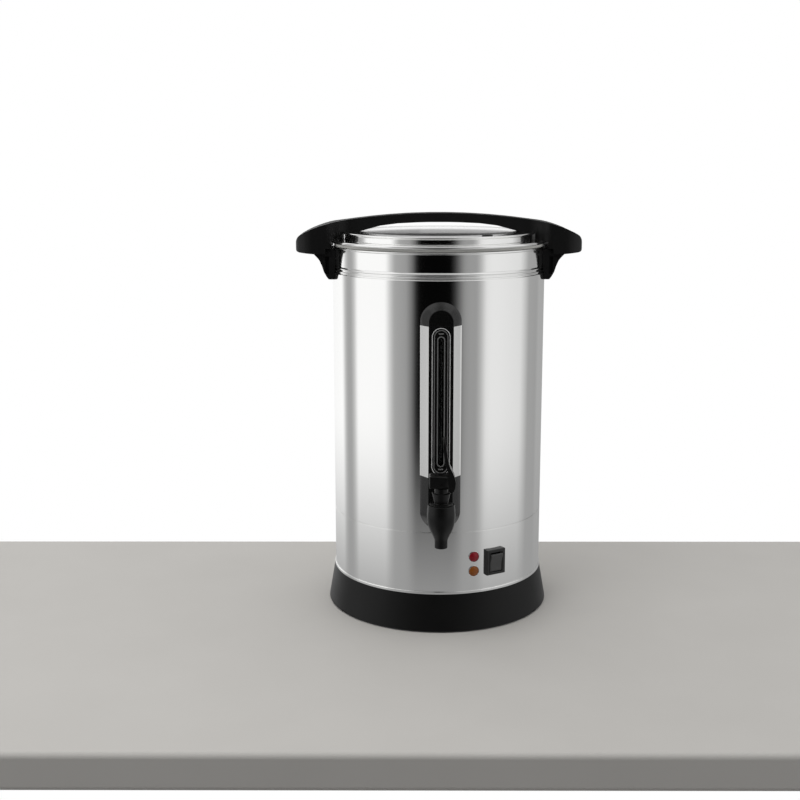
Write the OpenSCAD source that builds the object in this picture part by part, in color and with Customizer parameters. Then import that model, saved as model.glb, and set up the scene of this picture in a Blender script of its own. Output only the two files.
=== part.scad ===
// Double-walled coffee urn with a lift-off lid, a sight gauge and a lever tap.
// Millimetres. The origin is on the table at the urn's own axis, +Z is up and the tap faces -Y.

/* [Body] */
// Outside diameter of the steel jacket
body_d = 260; // [254:1:268]
// Thickness of every steel sheet
sheet = 0.8; // [0.6:0.1:1.2]
// Height of the black base, from the table
base_h = 45.7; // [40:0.1:52]
// How far the base spreads past the jacket at the table
base_spread = 8.6; // [5:0.1:12]
// Wall of the moulded base
base_wall = 3; // [2.4:0.1:4]
// How far the rubber feet stand below the base
foot_proud = 0.6; // [0.4:0.1:1.2]
// Diameter of a rubber foot
foot_d = 18; // [14:1:24]
// Height of the lower steel band
band_h = 75.8; // [72:0.1:82]
// Height of the outer jacket
jacket_h = 297; // [285:1:310]
// Height of the grooved collar above the jacket
collar_h = 8; // [7:0.1:10]
// Height of the bare tank neck above the collar
neck_h = 20; // [18:0.1:24]
// Diameter of the bead rolled round the tank's mouth
rim_bead_d = 3; // [2.4:0.1:3.6]

/* [Tank] */
// Air gap between the tank and the jacket
wall_gap = 3.2; // [2.4:0.1:4.5]
// Height of the tank's floor over the seam between band and jacket
floor_over_seam = 1.6; // [1:0.1:4]
// Diameter of the heater plate under the tank
heater_plate_d = 150; // [130:1:170]
// Diameter of the heater tube
heater_tube_d = 8; // [6:0.5:9]
// Radius of the heater tube's ring
heater_ring_r = 60; // [50:1:66]

/* [Lid] */
// How far the lid's rolled edge stands out past the jacket
lid_over = 2; // [1:0.1:3.5]
// Diameter of the raised part of the lid
lid_top_d = 230; // [222:1:236]
// Height of the raised part over the rolled edge
lid_rise = 9.5; // [8:0.1:12]
// How far the top of the lid swells
lid_crown = 2.4; // [1:0.1:4]
// Depth of the skirt that drops into the tank
skirt_depth = 16; // [12:1:22]
// Thickness of the seal under the lid
seal_h = 5; // [4:0.1:6]

/* [Handle] */
// Span over the tips of the two ears
handle_span = 348.4; // [340:0.2:356]
// Height of the arch over the lid
arch_rise = 22.5; // [20:0.1:26]
// Thickness of the arch at its middle
arch_t = 10.8; // [9:0.1:13]
// Width of the arch, front to back
arch_w = 30; // [24:1:36]
// Width of an ear, front to back
ear_w = 68; // [60:1:76]
// Radius of an ear's corners, seen from above
ear_corner = 22; // [16:1:26]
// How far an ear hangs below the lid's edge
ear_drop = 12.8; // [10:0.1:15]
// Width of a side bracket, front to back
bracket_w = 60; // [50:1:64]
// How far a bracket stands out from the jacket at its top
bracket_reach = 21.5; // [18:0.1:24]
// How far a bracket reaches down over the jacket
bracket_foot = 9; // [6:0.1:12]

/* [Gauge] */
// Width of the gauge housing on the jacket
gauge_w = 48; // [46:1:52]
// Width of the gauge's flat front
gauge_front_w = 28.3; // [27:0.1:32]
// How far the gauge stands out from the jacket
gauge_out = 11.5; // [11:0.1:14]
// Height of the gauge's lower round over the seam
gauge_low = 26.3; // [23:0.1:30]
// Distance between the centres of the gauge's two round ends
gauge_len = 224.6; // [215:0.1:235]
// Height of the black lower cap over its round's centre
low_cap_h = 43.7; // [40:0.1:48]
// Length of the steel strips at the gauge's sides
strip_h = 176.5; // [170:0.1:182]
// Thickness of the steel strips
strip_t = 1.2; // [1:0.1:1.6]
// Width of the outer ridge round the window
ridge_w = 21.5; // [20:0.1:23]
// Width of the inner ridge round the slot
inner_ridge_w = 9.8; // [9:0.1:11]
// Width of the slot that shows the sight tube
slot_w = 6; // [5:0.1:7]
// Height of the window's ridges
ridge_h = 0.9; // [0.6:0.1:1.4]
// Outside diameter of the glass sight tube
tube_d = 8; // [7:0.1:8.6]
// Wall of the glass sight tube
tube_wall = 1.2; // [1:0.1:1.5]

/* [Tap] */
// Distance of the tap's axis in front of the jacket
tap_out = 45; // [42:0.5:50]
// Height of the spout's mouth over the table
spout_z = 118.5; // [114:0.1:122]
// Length of the straight spout
spout_len = 9.5; // [8:0.1:12]
// Diameter of the spout
spout_d = 14.8; // [13:0.1:16]
// Largest diameter of the tap body
tap_d = 32.4; // [31:0.1:35]
// Height of the tap body over its spout's mouth
tap_body_h = 51; // [50:0.1:57]
// Diameter of the tap body's top
tap_top_d = 30.6; // [29:0.1:32]
// Diameter of the threaded shank
shank_d = 16; // [14:0.5:18]
// Diameter of the water way
bore_d = 8; // [7:0.1:10]
// Diameter of the bonnet at its wide top
bonnet_d = 21.4; // [20.6:0.1:23]
// Diameter of the lever's stem
stem_d = 5; // [4:0.1:6]
// How far the lever lifts the valve
valve_lift = 4; // [3.2:0.1:4.5]
// Height of the lever's blade over its hub
blade_h = 44; // [38:0.5:50]
// Width of the lever's blade
blade_w = 22; // [18:0.5:26]

/* [Controls] */
// Bearing of the lamps, from the tap to its right
lamp_az = 18.2; // [17:0.1:20]
// Height of the upper, red lamp
lamp_z = 90.3; // [88:0.1:96]
// Distance between the lamps
lamp_pitch = 17.8; // [16:0.1:22]
// Diameter of a lamp's bezel
lamp_d = 13.4; // [12:0.1:14]
// Width of a bezel's bright rim
lamp_rim = 0.4; // [0.3:0.1:1.2]
// Bearing of the switch, from the tap to its right
switch_az = 30.3; // [30:0.1:36]
// Height of the switch's centre
switch_z = 81.4; // [78:0.1:88]
// Width of the switch's frame
switch_w = 26; // [24.6:0.1:28]
// Height of the switch's frame
switch_h = 31; // [28:0.1:34]
// How far the switch's frame stands out from the band
switch_out = 4.5; // [4:0.1:6]
// Full swing of the rocker
rocker_swing = 16; // [12:1:18]
// Height of the mains inlet
inlet_z = 80; // [74:1:90]

/* [Brewing] */
// Outside diameter of the brewing tube
brew_tube_d = 10; // [9:0.1:12]
// Wall of the brewing tube
brew_wall = 1; // [0.8:0.1:1.2]
// Diameter of the coffee basket
basket_d = 172; // [150:1:190]
// Depth of the coffee basket
basket_h = 62; // [50:1:70]
// Height of the basket's floor over the tank's floor
basket_lift = 216; // [200:1:222]
// How far the brewing tube stands over the basket
tube_over_basket = 24; // [18:1:26]

/* [Hidden] */
$fn = 180;
eps = 0.01;
run_gap = 0.05;      // a pin or stem in its bore
part_gap = 0.3;      // pieces that move against each other
nest_gap = 0.15;     // curved pieces that lie one in the other

body_r = body_d / 2;
base_r = body_r + base_spread;
base_top_r = body_r + 1;
band_bottom = base_h;
band_top = base_h + band_h;
jacket_bottom = band_top + 0.7;
jacket_top = jacket_bottom + jacket_h;
collar_top = jacket_top + collar_h;
neck_top = collar_top + neck_h;
rim_top = neck_top + rim_bead_d;
neck_r = body_r - 1.7;
rim_r = body_r - 1;
tank_r = body_r - sheet - wall_gap;
floor_z = band_top + floor_over_seam;
floor_top = floor_z + sheet;

// base plate, feet and their screws
plate_z = 7;
plate_t = 1.5;
plate_r = body_r + 3;
boss_circle = body_r - 12;
screw_hole_r = 2.1;
stud_circle = body_r - 35;
stud_r = 2.5;
nut_h = 3.6;

// lid
edge_h = 3.4;                                  // height of the lid's rolled edge
lid_edge_z = rim_top + 2 * part_gap + 3;       // underside of the rolled edge
lid_flange_z = rim_top + 2 * part_gap + seal_h;
lid_sheet = 1;
lid_top_z = lid_edge_z + edge_h + lid_rise;
lid_r = body_r + lid_over;
lid_top_r = lid_top_d / 2;
lip = 3;                                       // how far the lid's lip overhangs its wall
skirt_r = neck_r - sheet - 5;
seal_r = neck_r - 0.3;

// handle and brackets
arch_top = lid_top_z + arch_rise;
tip_x = handle_span / 2;
tip_r = 14;
ear_bottom = lid_edge_z - ear_drop;
split_r = body_r + 11;                         // step in the seat of the ear on its bracket
bracket_inner_top = ear_bottom + 5.9;
foot_x = lid_top_r - 13;
dome_r = foot_x - 10;                          // the lid's top is flat outside this
handle_screw_x = lid_top_r - 8;
handle_screw_y = 8;
vent_r = lid_top_r - 7.5;                      // distance of the vent from the axis

// gauge
gauge_low_z = band_top + gauge_low;
gauge_high_z = gauge_low_z + gauge_len;
front_y = -(body_r + gauge_out);
strip_low = gauge_low_z + low_cap_h;
strip_high = strip_low + strip_h;
front_t = 2;
tube_y = -(body_r + gauge_out - front_t - tube_d / 2 - 0.2);
fitting_h = 9;
tube_low = strip_low + 7;
tube_high = strip_high - 6;
window_low = strip_low + 3;
window_high = strip_high - 1.5;

// tap
tap_y = -(body_r + tap_out);
tap_top = spout_z + tap_body_h;
seat_z = spout_z + 24.5;
shank_z = seat_z + bore_d / 2 + valve_lift + 3.5;   // the water way lies over the raised valve
bonnet_seat = tap_top + 1.9;
bonnet_top = bonnet_seat + 11.8;
bonnet_neck_h = 6;
bonnet_plug = 8;                               // depth of the bonnet in the tap body
bonnet_neck_d = stem_d + 10.2;
hub_bottom = bonnet_top + bonnet_neck_h + part_gap;
hub_h = 15;
pin_z = hub_bottom + 5.5;
pin_r = 1.5;
hub_left = 14;
hub_right = 12.2;
hub_w = 18;
chamber_r = 9;
spring_r = 5.6;

// switch
switch_r = body_r + switch_out;
rocker_w = 16.4;
rocker_h = 23.4;
rocker_pivot = body_r - 1.5;

cap_wall = 2;
wire_r = 1.3;
heater_tube_z = floor_z - 6 - heater_tube_d / 2 + 1;   // the tube is let 1 mm into its plate
heater_tail = 24;                              // length of the heater's two cold ends
inlet_pin_l = 28;                              // length of an inlet pin, blade included

steel = [0.8, 0.8, 0.79];
black = [0.1, 0.1, 0.1];
brass = [0.75, 0.62, 0.35];
silicone = [0.85, 0.85, 0.82];

// points along a circle's arc, from angle a0 to a1
function arc(cx, cy, r, a0, a1, n) =
    [for (i = [0:n]) let (a = a0 + (a1 - a0) * i / n) [cx + r * cos(a), cy + r * sin(a)]];

// places its child on a circle about the urn's axis, facing outward along -Y
module around(az, r, z) {
    rotate([0, 0, az]) translate([0, -r, z]) children();
}

// a cylinder along -Y whose base is at the origin
module outward(r, h) {
    rotate([90, 0, 0]) cylinder(r = r, h = h);
}

// a round rod between two points
module rod(a, b, r) {
    d = b - a;
    l = norm(d);
    translate(a) rotate([0, acos(d[2] / l), atan2(d[1], d[0])]) cylinder(r = r, h = l, $fn = 32);
}

// ---- base ----

module base_ring() {
    low_z = foot_proud;
    color(black) difference() {
        union() {
            rotate_extrude() polygon(concat(
                [[base_r - base_wall, low_z], [base_r - 1.5, low_z]],
                arc(base_r - 2, low_z + 2, 2, -60, 0, 4),
                [[base_top_r, base_h], [body_r - 16, base_h],
                 [body_r - 16, base_h - base_wall], [base_top_r - base_wall - 0.6, base_h - base_wall]]));
            rotate_extrude() translate([body_r - sheet - nest_gap - 2.6, base_h - eps])
                square([2.6, 6]);
            for (az = [0:90:270]) around(az, boss_circle, plate_z + plate_t)
                cylinder(r = 5, h = base_h - base_wall - plate_z - plate_t + eps);
        }
        for (az = [0:90:270]) around(az, boss_circle, plate_z + plate_t - eps)
            cylinder(r = 1.6, h = 14);
        for (side = [-1, 1]) around(side * 59, base_r, low_z) cube([4, 12, 5], center = true);
        // room behind the band for the inlet and the switch
        around(180, body_r - 2, base_h + 4) cube([60, 20, 8], center = true);
    }
}

module base_plate() {
    color(steel) difference() {
        translate([0, 0, plate_z]) cylinder(r = plate_r, h = plate_t);
        for (az = [0:90:270]) around(az, boss_circle, plate_z - 1) cylinder(r = screw_hole_r, h = 4);
        for (az = [60:120:300]) around(az, stud_circle, plate_z - 1)
            cylinder(r = stud_r + 0.4, h = 4);
        for (ring = [35:12:71]) for (az = [0:30:330]) around(az, ring, plate_z)
            cube([ring / 4, 4, 6], center = true);
    }
}

module base_screws() {
    color(steel) for (az = [0:90:270]) around(az, boss_circle, plate_z - 2.2) {
        cylinder(r = 3.6, h = 2.2);
        cylinder(r = 1.5, h = 13);
    }
}

module rubber_feet() {
    color(black) for (az = [45:90:315]) around(az, boss_circle - 4, 0)
        cylinder(r = foot_d / 2, h = plate_z);
}

// ---- steel shell ----

module trim_ring() {
    color(steel) rotate_extrude() polygon([[body_r + 0.1, base_h], [base_top_r, base_h],
        [base_top_r, base_h + 2.6], [base_top_r - 0.4, base_h + 3.2], [body_r + 0.1, base_h + 3.2]]);
}

module lower_band() {
    color(steel) difference() {
        rotate_extrude() translate([body_r - sheet, band_bottom]) square([sheet, band_h]);
        for (i = [0, 1]) around(lamp_az, body_r + 2, lamp_z - i * lamp_pitch)
            rotate([-90, 0, 0]) cylinder(r = lamp_d / 2 - lamp_rim + nest_gap, h = 8);
        around(switch_az, body_r, switch_z)
            cube([switch_w - 4, 16, switch_h - 4], center = true);
        around(180, body_r, inlet_z) cube([34, 16, 24], center = true);
        for (side = [-1, 1]) around(180, body_r + 4, inlet_z) translate([side * 22, 0, 0])
            rotate([-90, 0, 0]) cylinder(r = 1.9, h = 12);
    }
}

module jacket() {
    step = sheet + nest_gap;
    color(steel) difference() {
        rotate_extrude() polygon(concat(
            [[body_r - sheet - step, jacket_bottom - 10], [body_r - step, jacket_bottom - 10],
             [body_r - step, jacket_bottom], [body_r, jacket_bottom]],
            arc(body_r - 1.6, jacket_top - 1.6, 1.6, 0, 90, 6),
            [[tank_r + 0.6, jacket_top], [tank_r + 0.6, jacket_top - sheet],
             [body_r - 1.6 - sheet, jacket_top - sheet], [body_r - sheet, jacket_top - 1.6 - sheet],
             [body_r - sheet, jacket_bottom + sheet], [body_r - sheet - step, jacket_bottom + sheet]]));
        shank_hole();
        for (z = [tube_low, tube_high]) translate([0, 0, z]) fitting_hole();
    }
}

// way for the tap's shank through every wall behind it
module shank_hole() {
    translate([0, front_y - 1, shank_z]) rotate([-90, 0, 0])
        cylinder(r = shank_d / 2 + 0.3, h = gauge_out + 20);
}

// way for a gauge fitting's spigot through the jacket and the tank
module fitting_hole() {
    translate([0, -body_r - 2, 0]) rotate([-90, 0, 0]) cylinder(r = 4.3, h = 14);
}

module collar() {
    h = collar_h;
    color(steel) rotate_extrude() polygon(concat(
        [[tank_r + 0.4, jacket_top], [rim_r - 0.6, jacket_top]],
        arc(rim_r - 1.2, jacket_top + 1.9, 1.2, -60, 80, 6),
        [[rim_r - 1.3, jacket_top + 3.9]],
        arc(rim_r - 1.2, jacket_top + 5.7, 1.2, -80, 60, 6),
        [[neck_r - 0.4, jacket_top + h], [tank_r + 0.4, jacket_top + h]]));
}

module tank() {
    r = tank_r;
    bead_r = rim_bead_d / 2;
    color(steel) difference() {
        rotate_extrude() polygon(concat(
            [[0, floor_z], [r - 6, floor_z]],
            arc(r - 6, floor_z + 6, 6, -80, 0, 6),
            [[r, collar_top], [neck_r, collar_top], [neck_r, neck_top]],
            arc(rim_r - bead_r, neck_top + bead_r, bead_r, -70, 180, 14),
            [[neck_r - sheet, neck_top], [neck_r - sheet, collar_top + sheet],
             [r - sheet, collar_top + sheet]],
            arc(r - 6, floor_z + 6, 6 - sheet, 0, -80, 6),
            [[r - 6, floor_top], [0, floor_top]]));
        shank_hole();
        for (z = [tube_low, tube_high]) translate([0, 0, z]) fitting_hole();
        for (side = [0, 180]) for (a = [-8, 8]) rotate([0, 0, side + a])
            translate([neck_r - 4, 0, bracket_screw_z()]) rotate([0, 90, 0]) cylinder(r = 2.7, h = 8);
    }
}

function bracket_screw_z() = collar_top + neck_h / 2 - 1.5;

module tank_studs() {
    color(steel) for (az = [60:120:300]) around(az, stud_circle, plate_z - 5)
        cylinder(r = stud_r, h = floor_z - plate_z + 5);
}

module stud_nuts() {
    color(steel) for (az = [60:120:300]) around(az, stud_circle, plate_z - nut_h) difference() {
        cylinder(r = 4.6, h = nut_h, $fn = 6);
        translate([0, 0, -1]) cylinder(r = stud_r + run_gap, h = nut_h + 2);
    }
}

// ---- heater ----

module heater_plate() {
    color([0.7, 0.7, 0.7]) difference() {
        translate([0, 0, floor_z - 6]) cylinder(r = heater_plate_d / 2, h = 6);
        rotate_extrude() translate([heater_ring_r, heater_tube_z])
            circle(r = heater_tube_d / 2 + nest_gap);
    }
}

module heater_tube() {
    color([0.35, 0.35, 0.35]) {
        rotate([0, 0, 20]) rotate_extrude(angle = 320) translate([heater_ring_r, heater_tube_z])
            circle(r = heater_tube_d / 2);
        for (side = [-1, 1]) rotate([0, 0, side * 20])
            translate([heater_ring_r, 0, heater_tube_z - heater_tail])
                cylinder(r = heater_tube_d / 2, h = heater_tail);
    }
}

// a disc thermostat with its two blades, under the heater plate
module disc_switch(az, body_h) {
    around(az, 28, floor_z - 6 - body_h) {
        cylinder(r = 9, h = body_h);
        for (side = [-1, 1]) translate([side * 4.5, 0, -4]) cube([0.8, 5, 8.2], center = true);
    }
}

module boil_thermostat() { color(brass) disc_switch(-60, 9); }
module warm_thermostat() { color(brass) disc_switch(60, 9); }
module thermal_cutout() { color(brass) disc_switch(180, 7); }

// ---- side brackets ----

// the bracket seen from the front, at the right-hand side of the urn
module bracket_profile() {
    top_x = body_r + bracket_reach;
    foot_z = jacket_top - bracket_foot;
    polygon([[body_r - 6, foot_z], [body_r + 3.6, foot_z], [body_r + 6, foot_z + 3],
        [body_r + 9.4, foot_z + 9], [body_r + 11.6, foot_z + 16], [body_r + 14.7, foot_z + 23],
        [body_r + 17.2, ear_bottom - part_gap - 4.4], [top_x, ear_bottom - part_gap],
        [top_x, bracket_inner_top], [body_r - 6, bracket_inner_top]]);
}

// everything the bracket has to stay clear of: jacket, collar, neck, bead and ear
module bracket_clearance() {
    g = nest_gap;
    rotate_extrude() polygon([[0, jacket_bottom], [body_r + g, jacket_bottom],
        [body_r + g, jacket_top + g], [rim_r + g, jacket_top + g], [rim_r + g, collar_top + g],
        [neck_r + g, collar_top + g], [neck_r + g, neck_top - 1.5], [rim_r + 0.6, neck_top - 1.5],
        [rim_r + 0.6, rim_top + 20], [0, rim_top + 20]]);
    rotate_extrude() translate([split_r, ear_bottom - part_gap]) square([40, 30]);
}

module bracket() {
    color(black) difference() {
        translate([0, bracket_w / 2, 0]) rotate([90, 0, 0]) linear_extrude(bracket_w)
            bracket_profile();
        bracket_clearance();
        for (side = [-1, 1]) translate([0, side * (bracket_w / 2 + 4), 0]) {
            translate([body_r + 3, -10, ear_bottom - 24]) cube([4.6, 20, 21]);
        }
        for (a = [-8, 8]) rotate([0, 0, a]) translate([neck_r - 4, 0, bracket_screw_z()])
            rotate([0, 90, 0]) cylinder(r = 2.2, h = 16);
    }
}

module bracket_right() { bracket(); }
module bracket_left() { rotate([0, 0, 180]) bracket(); }

module bracket_screws() {
    color(steel) for (side = [0, 180]) for (a = [-8, 8]) rotate([0, 0, side + a])
        translate([neck_r - sheet - 2.2, 0, bracket_screw_z()]) rotate([0, 90, 0]) {
            cylinder(r = 4.4, h = 2);
            cylinder(r = 2.1, h = 14);
        }
}

// ---- gauge ----

// the gauge's outer shape between its round ends, from z0 to z1, grown inward by wall
module gauge_bar(z0, z1, wall) {
    half = gauge_w / 2 - wall;
    front = gauge_front_w / 2 - wall * 0.7;
    translate([0, 0, z0]) linear_extrude(z1 - z0) polygon([[-half, -body_r + 12], [half, -body_r + 12],
        [half, -body_r + 2.6], [front, front_y + wall], [-front, front_y + wall],
        [-half, -body_r + 2.6]]);
}

// a round end of the gauge, centred at height z
module gauge_round(z, wall) {
    translate([0, -body_r + 2.6, z]) {
        rotate([90, 0, 0]) cylinder(r1 = gauge_w / 2 - wall, r2 = gauge_front_w / 2 - wall * 0.7,
            h = gauge_out + 2.6 - wall);
        rotate([-90, 0, 0]) cylinder(r = gauge_w / 2 - wall, h = 9.4);
    }
}

module gauge_back_clearance() {
    translate([0, 0, band_top - 20]) cylinder(r = body_r + nest_gap, h = jacket_h + 40);
}

module gauge_top_cap() {
    reach = gauge_w;
    color(black) difference() {
        union() {
            gauge_bar(strip_high, gauge_high_z, 0);
            gauge_round(gauge_high_z, 0);
        }
        intersection() {
            gauge_round(gauge_high_z, cap_wall);
            translate([-reach, front_y - 1, strip_high + cap_wall]) cube([2 * reach, reach, reach]);
        }
        translate([-reach, front_y - 1, strip_high - reach]) cube([2 * reach, reach, reach]);
        gauge_back_clearance();
    }
}

module gauge_bottom_cap() {
    cavity_w = gauge_front_w - 2 * cap_wall;
    color(black) difference() {
        union() {
            difference() {
                union() {
                    gauge_bar(gauge_low_z, strip_low, 0);
                    gauge_round(gauge_low_z, 0);
                }
                translate([0, -body_r + 13, 0])
                    stadium(cavity_w, gauge_low_z - cavity_w / 2, strip_low - cap_wall, gauge_out + 13 - cap_wall);
            }
            translate([0, -body_r + 3, shank_z]) outward(shank_d / 2 + 3, gauge_out + 2);
        }
        gauge_back_clearance();
        shank_hole();
    }
}

// the flat outline of the window, as a long round-ended slot
module stadium(w, z0, z1, depth) {
    translate([0, 0, z0 + w / 2]) outward(w / 2, depth);
    translate([0, 0, z1 - w / 2]) outward(w / 2, depth);
    translate([-w / 2, -depth, z0 + w / 2]) cube([w, depth, z1 - z0 - w]);
}

module ridge(w, z0, z1, t) {
    translate([0, front_y + 0.5, 0]) difference() {
        stadium(w, z0, z1, ridge_h + 0.5);
        translate([0, eps, 0]) stadium(w - 2 * t, z0 + t, z1 - t, ridge_h + 1);
    }
}

module gauge_panel() {
    inner_low = window_low + 10;
    inner_high = window_high - 9.5;
    color(black) difference() {
        union() {
            intersection() {
                gauge_bar(strip_low, strip_high, 0);
                translate([-gauge_front_w / 2, front_y - 1, strip_low])
                    cube([gauge_front_w, front_t + 1, strip_h]);
            }
            for (side = [-1, 1]) translate([side * (gauge_front_w / 2 - 2.6) - 1, front_y + 1, strip_low])
                cube([2, gauge_out, strip_h]);
            ridge(ridge_w, window_low, window_high, 1.1);
            ridge(ridge_w - 4.5, window_low + 2.2, window_high - 2.2, 0.8);
            ridge(inner_ridge_w, inner_low, inner_high, 1.2);
            for (z = [inner_low - 3.4, inner_high + 2]) translate([-3, front_y - 0.6, z])
                cube([6, 1, 1.4]);
        }
        translate([0, front_y + front_t + 1, 0])
            stadium(slot_w, inner_low + 1.9, inner_high - 1.9, front_t + 3);
        gauge_back_clearance();
    }
}

// a steel strip over one bevel of the gauge
module gauge_strip(side) {
    outer = gauge_w / 2;
    front = gauge_front_w / 2;
    color(steel) mirror([side < 0 ? 1 : 0, 0, 0]) difference() {
        translate([0, 0, strip_low]) linear_extrude(strip_h) polygon([[front + 0.1, front_y],
            [outer, -body_r + 2.6], [outer, -body_r + 8], [outer - strip_t, -body_r + 8],
            [outer - strip_t, -body_r + 3.2], [front + 0.1, front_y + 2.1]]);
        gauge_back_clearance();
    }
}

module gauge_strip_left() { gauge_strip(-1); }
module gauge_strip_right() { gauge_strip(1); }

module sight_tube() {
    color([0.75, 0.8, 0.8]) translate([0, tube_y, tube_low - 2]) difference() {
        cylinder(r = tube_d / 2, h = tube_high - tube_low + 4);
        translate([0, 0, -1]) cylinder(r = tube_d / 2 - tube_wall, h = tube_high - tube_low + 6);
    }
}

// the block that holds one end of the sight tube, with its spigot into the tank
module gauge_fitting(up) {
    h = fitting_h;
    difference() {
        union() {
            difference() {
                translate([-7, front_y + front_t, -h / 2])
                    cube([14, gauge_out - front_t - nest_gap, h]);
                translate([0, 0, -20]) cylinder(r = body_r + nest_gap, h = 40);
            }
            translate([0, -body_r - 2, 0]) rotate([-90, 0, 0]) cylinder(r = 4, h = 13 - eps);
        }
        translate([0, tube_y, up > 0 ? -2 : -h]) cylinder(r = tube_d / 2 + nest_gap / 2, h = h + 2);
        translate([0, tube_y, 0]) rotate([-90, 0, 0]) cylinder(r = 2, h = 30);
    }
}

module gauge_fittings() {
    color(black) {
        translate([0, 0, tube_low]) gauge_fitting(1);
        translate([0, 0, tube_high]) gauge_fitting(-1);
    }
}

module fitting_nuts() {
    color(steel) for (z = [tube_low, tube_high])
        translate([0, -tank_r + sheet + 3, z]) rotate([90, 0, 0]) difference() {
            cylinder(r = 7, h = 3, $fn = 6);
            translate([0, 0, -1]) cylinder(r = 4 + run_gap, h = 6);
            // the nut's seat follows the tank wall
            rotate([-90, 0, 0]) translate([0, tank_r - sheet - 3, -10])
                difference() {
                    cylinder(r = tank_r + 20, h = 20);
                    translate([0, 0, -1])
                        cylinder(r = tank_r - sheet - nest_gap, h = 22, $fn = 720);
                }
        }
}

// ---- tap ----

module at_tap() { translate([0, tap_y, 0]) children(); }

module tap_body() {
    r = tap_d / 2;
    sr = spout_d / 2;
    z = spout_z;
    color(black) difference() {
        union() {
            at_tap() rotate_extrude() polygon([[0, z], [sr, z], [sr, z + spout_len],
                [sr + 1.4, z + spout_len + 3], [sr + 5.1, z + spout_len + 10],
                [r - 3.2, z + spout_len + 15], [r - 1.2, z + spout_len + 20],
                [r - 0.2, z + spout_len + 26], [r, z + spout_len + 29],
                [r - 0.5, z + tap_body_h - 3], [tap_top_d / 2, tap_top], [0, tap_top]]);
            translate([0, tap_y + 8, shank_z]) rotate([-90, 0, 0])
                cylinder(r = shank_d / 2, h = tap_out - 8 + 18);
            translate([0, front_y - 2, shank_z]) outward(shank_d / 2 + 3.4, 4);
        }
        at_tap() {
            translate([0, 0, seat_z]) cylinder(r = chamber_r, h = 60);
            translate([0, 0, z - 1]) cylinder(r = bore_d / 2, h = 60);
        }
        translate([0, tap_y, shank_z]) rotate([-90, 0, 0]) cylinder(r = bore_d / 2, h = tap_out + 40);
    }
}

module tap_washers() {
    color(silicone) difference() {
        union() {
            translate([0, front_y, shank_z]) outward(shank_d / 2 + 3.4, 2);
            translate([0, -tank_r + 5, shank_z]) outward(shank_d / 2 + 4, 7);
        }
        translate([0, front_y - 5, shank_z]) rotate([-90, 0, 0])
            cylinder(r = shank_d / 2 + nest_gap, h = 60);
        // the inner washer's seat follows the tank wall
        difference() {
            translate([0, 0, shank_z - 20]) cylinder(r = body_r + 9, h = 40);
            translate([0, 0, shank_z - 21]) cylinder(r = tank_r - sheet - 0.1, h = 42, $fn = 720);
        }
    }
}

module tap_nut() {
    color(steel) translate([0, -tank_r + 5, shank_z]) rotate([-90, 0, 0]) difference() {
        cylinder(r = shank_d / 2 + 5, h = 5, $fn = 6);
        translate([0, 0, -1]) cylinder(r = shank_d / 2 + run_gap, h = 8);
    }
}

module tap_bonnet() {
    r = bonnet_d / 2;
    nr = bonnet_neck_d / 2;
    color(black) at_tap() difference() {
        rotate_extrude() polygon([[0, tap_top - bonnet_plug], [chamber_r - nest_gap, tap_top - bonnet_plug],
            [chamber_r - nest_gap, tap_top], [r + 2.6, tap_top], [r + 2.6, tap_top + 1],
            [r - 2.9, bonnet_seat], [r, bonnet_top], [nr, bonnet_top + 0.6],
            [nr, bonnet_top + bonnet_neck_h], [0, bonnet_top + bonnet_neck_h]]);
        translate([0, 0, tap_top - 10]) cylinder(r = spring_r + 0.4, h = 18);
        translate([0, 0, tap_top - 10]) cylinder(r = stem_d / 2 + run_gap, h = 60);
    }
}

// the soft cup that closes on the tap's seat and rides on the stem's foot
module tap_seat_cup() {
    z = seat_z + part_gap;
    color(silicone) at_tap() difference() {
        rotate_extrude() polygon([[0, z], [bore_d / 2 + 1.6, z], [bore_d / 2 + 2.2, z + 2],
            [7, z + 3.4], [7, z + 8], [0, z + 8]]);
        translate([0, 0, z + 2.4]) cylinder(r = stem_d / 2 + 1.2 + run_gap, h = 2 + 2 * part_gap);
        translate([0, 0, z + 3]) cylinder(r = stem_d / 2 + run_gap, h = 20);
    }
}

module tap_spring() {
    low = seat_z + part_gap + 8;
    color(steel) at_tap() translate([0, 0, low]) difference() {
        cylinder(r = spring_r, h = tap_top + 8 - low);
        translate([0, 0, -1]) cylinder(r = spring_r - 1.2, h = 60);
    }
}

module tap_stem() {
    z = seat_z + part_gap + 2.4 + part_gap;
    color(steel) at_tap() difference() {
        union() {
            translate([0, 0, z]) cylinder(r = stem_d / 2, h = pin_z + 3.2 - z);
            translate([0, 0, z]) cylinder(r = stem_d / 2 + 1.2, h = 2);
        }
        translate([0, 10, pin_z]) outward(pin_r + run_gap, 20);
    }
}

module lever_pin() {
    color(steel) at_tap() translate([0, hub_w / 2 - 0.5, pin_z]) outward(pin_r, hub_w - 1);
}

// the blade seen from the front: it rises from the hub's right and leans back to the left
module blade_profile() {
    top = hub_bottom + hub_h + blade_h;
    polygon([[hub_right - 4, hub_bottom + 1], [hub_right + 2, hub_bottom - 2.6],
        [hub_right + 4.4, hub_bottom - 1], [hub_right + 5, hub_bottom + 5],
        [hub_right + 3.6, hub_bottom + 10], [hub_right + 1.4, hub_bottom + 16],
        [hub_right - 1.6, hub_bottom + 24], [hub_right - 4, hub_bottom + 35],
        [hub_right - 5.4, hub_bottom + 46], [hub_right - 7, top - 1.4], [hub_right - 8.6, top - 0.4],
        [hub_right - 9.6, top - 2], [hub_right - 9.4, hub_bottom + 44],
        [hub_right - 8.4, hub_bottom + 34], [hub_right - 6.4, hub_bottom + 24],
        [hub_right - 3.4, hub_bottom + 16], [hub_right - 1, hub_bottom + hub_h],
        [hub_right - 6, hub_bottom + hub_h]]);
}

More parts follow.
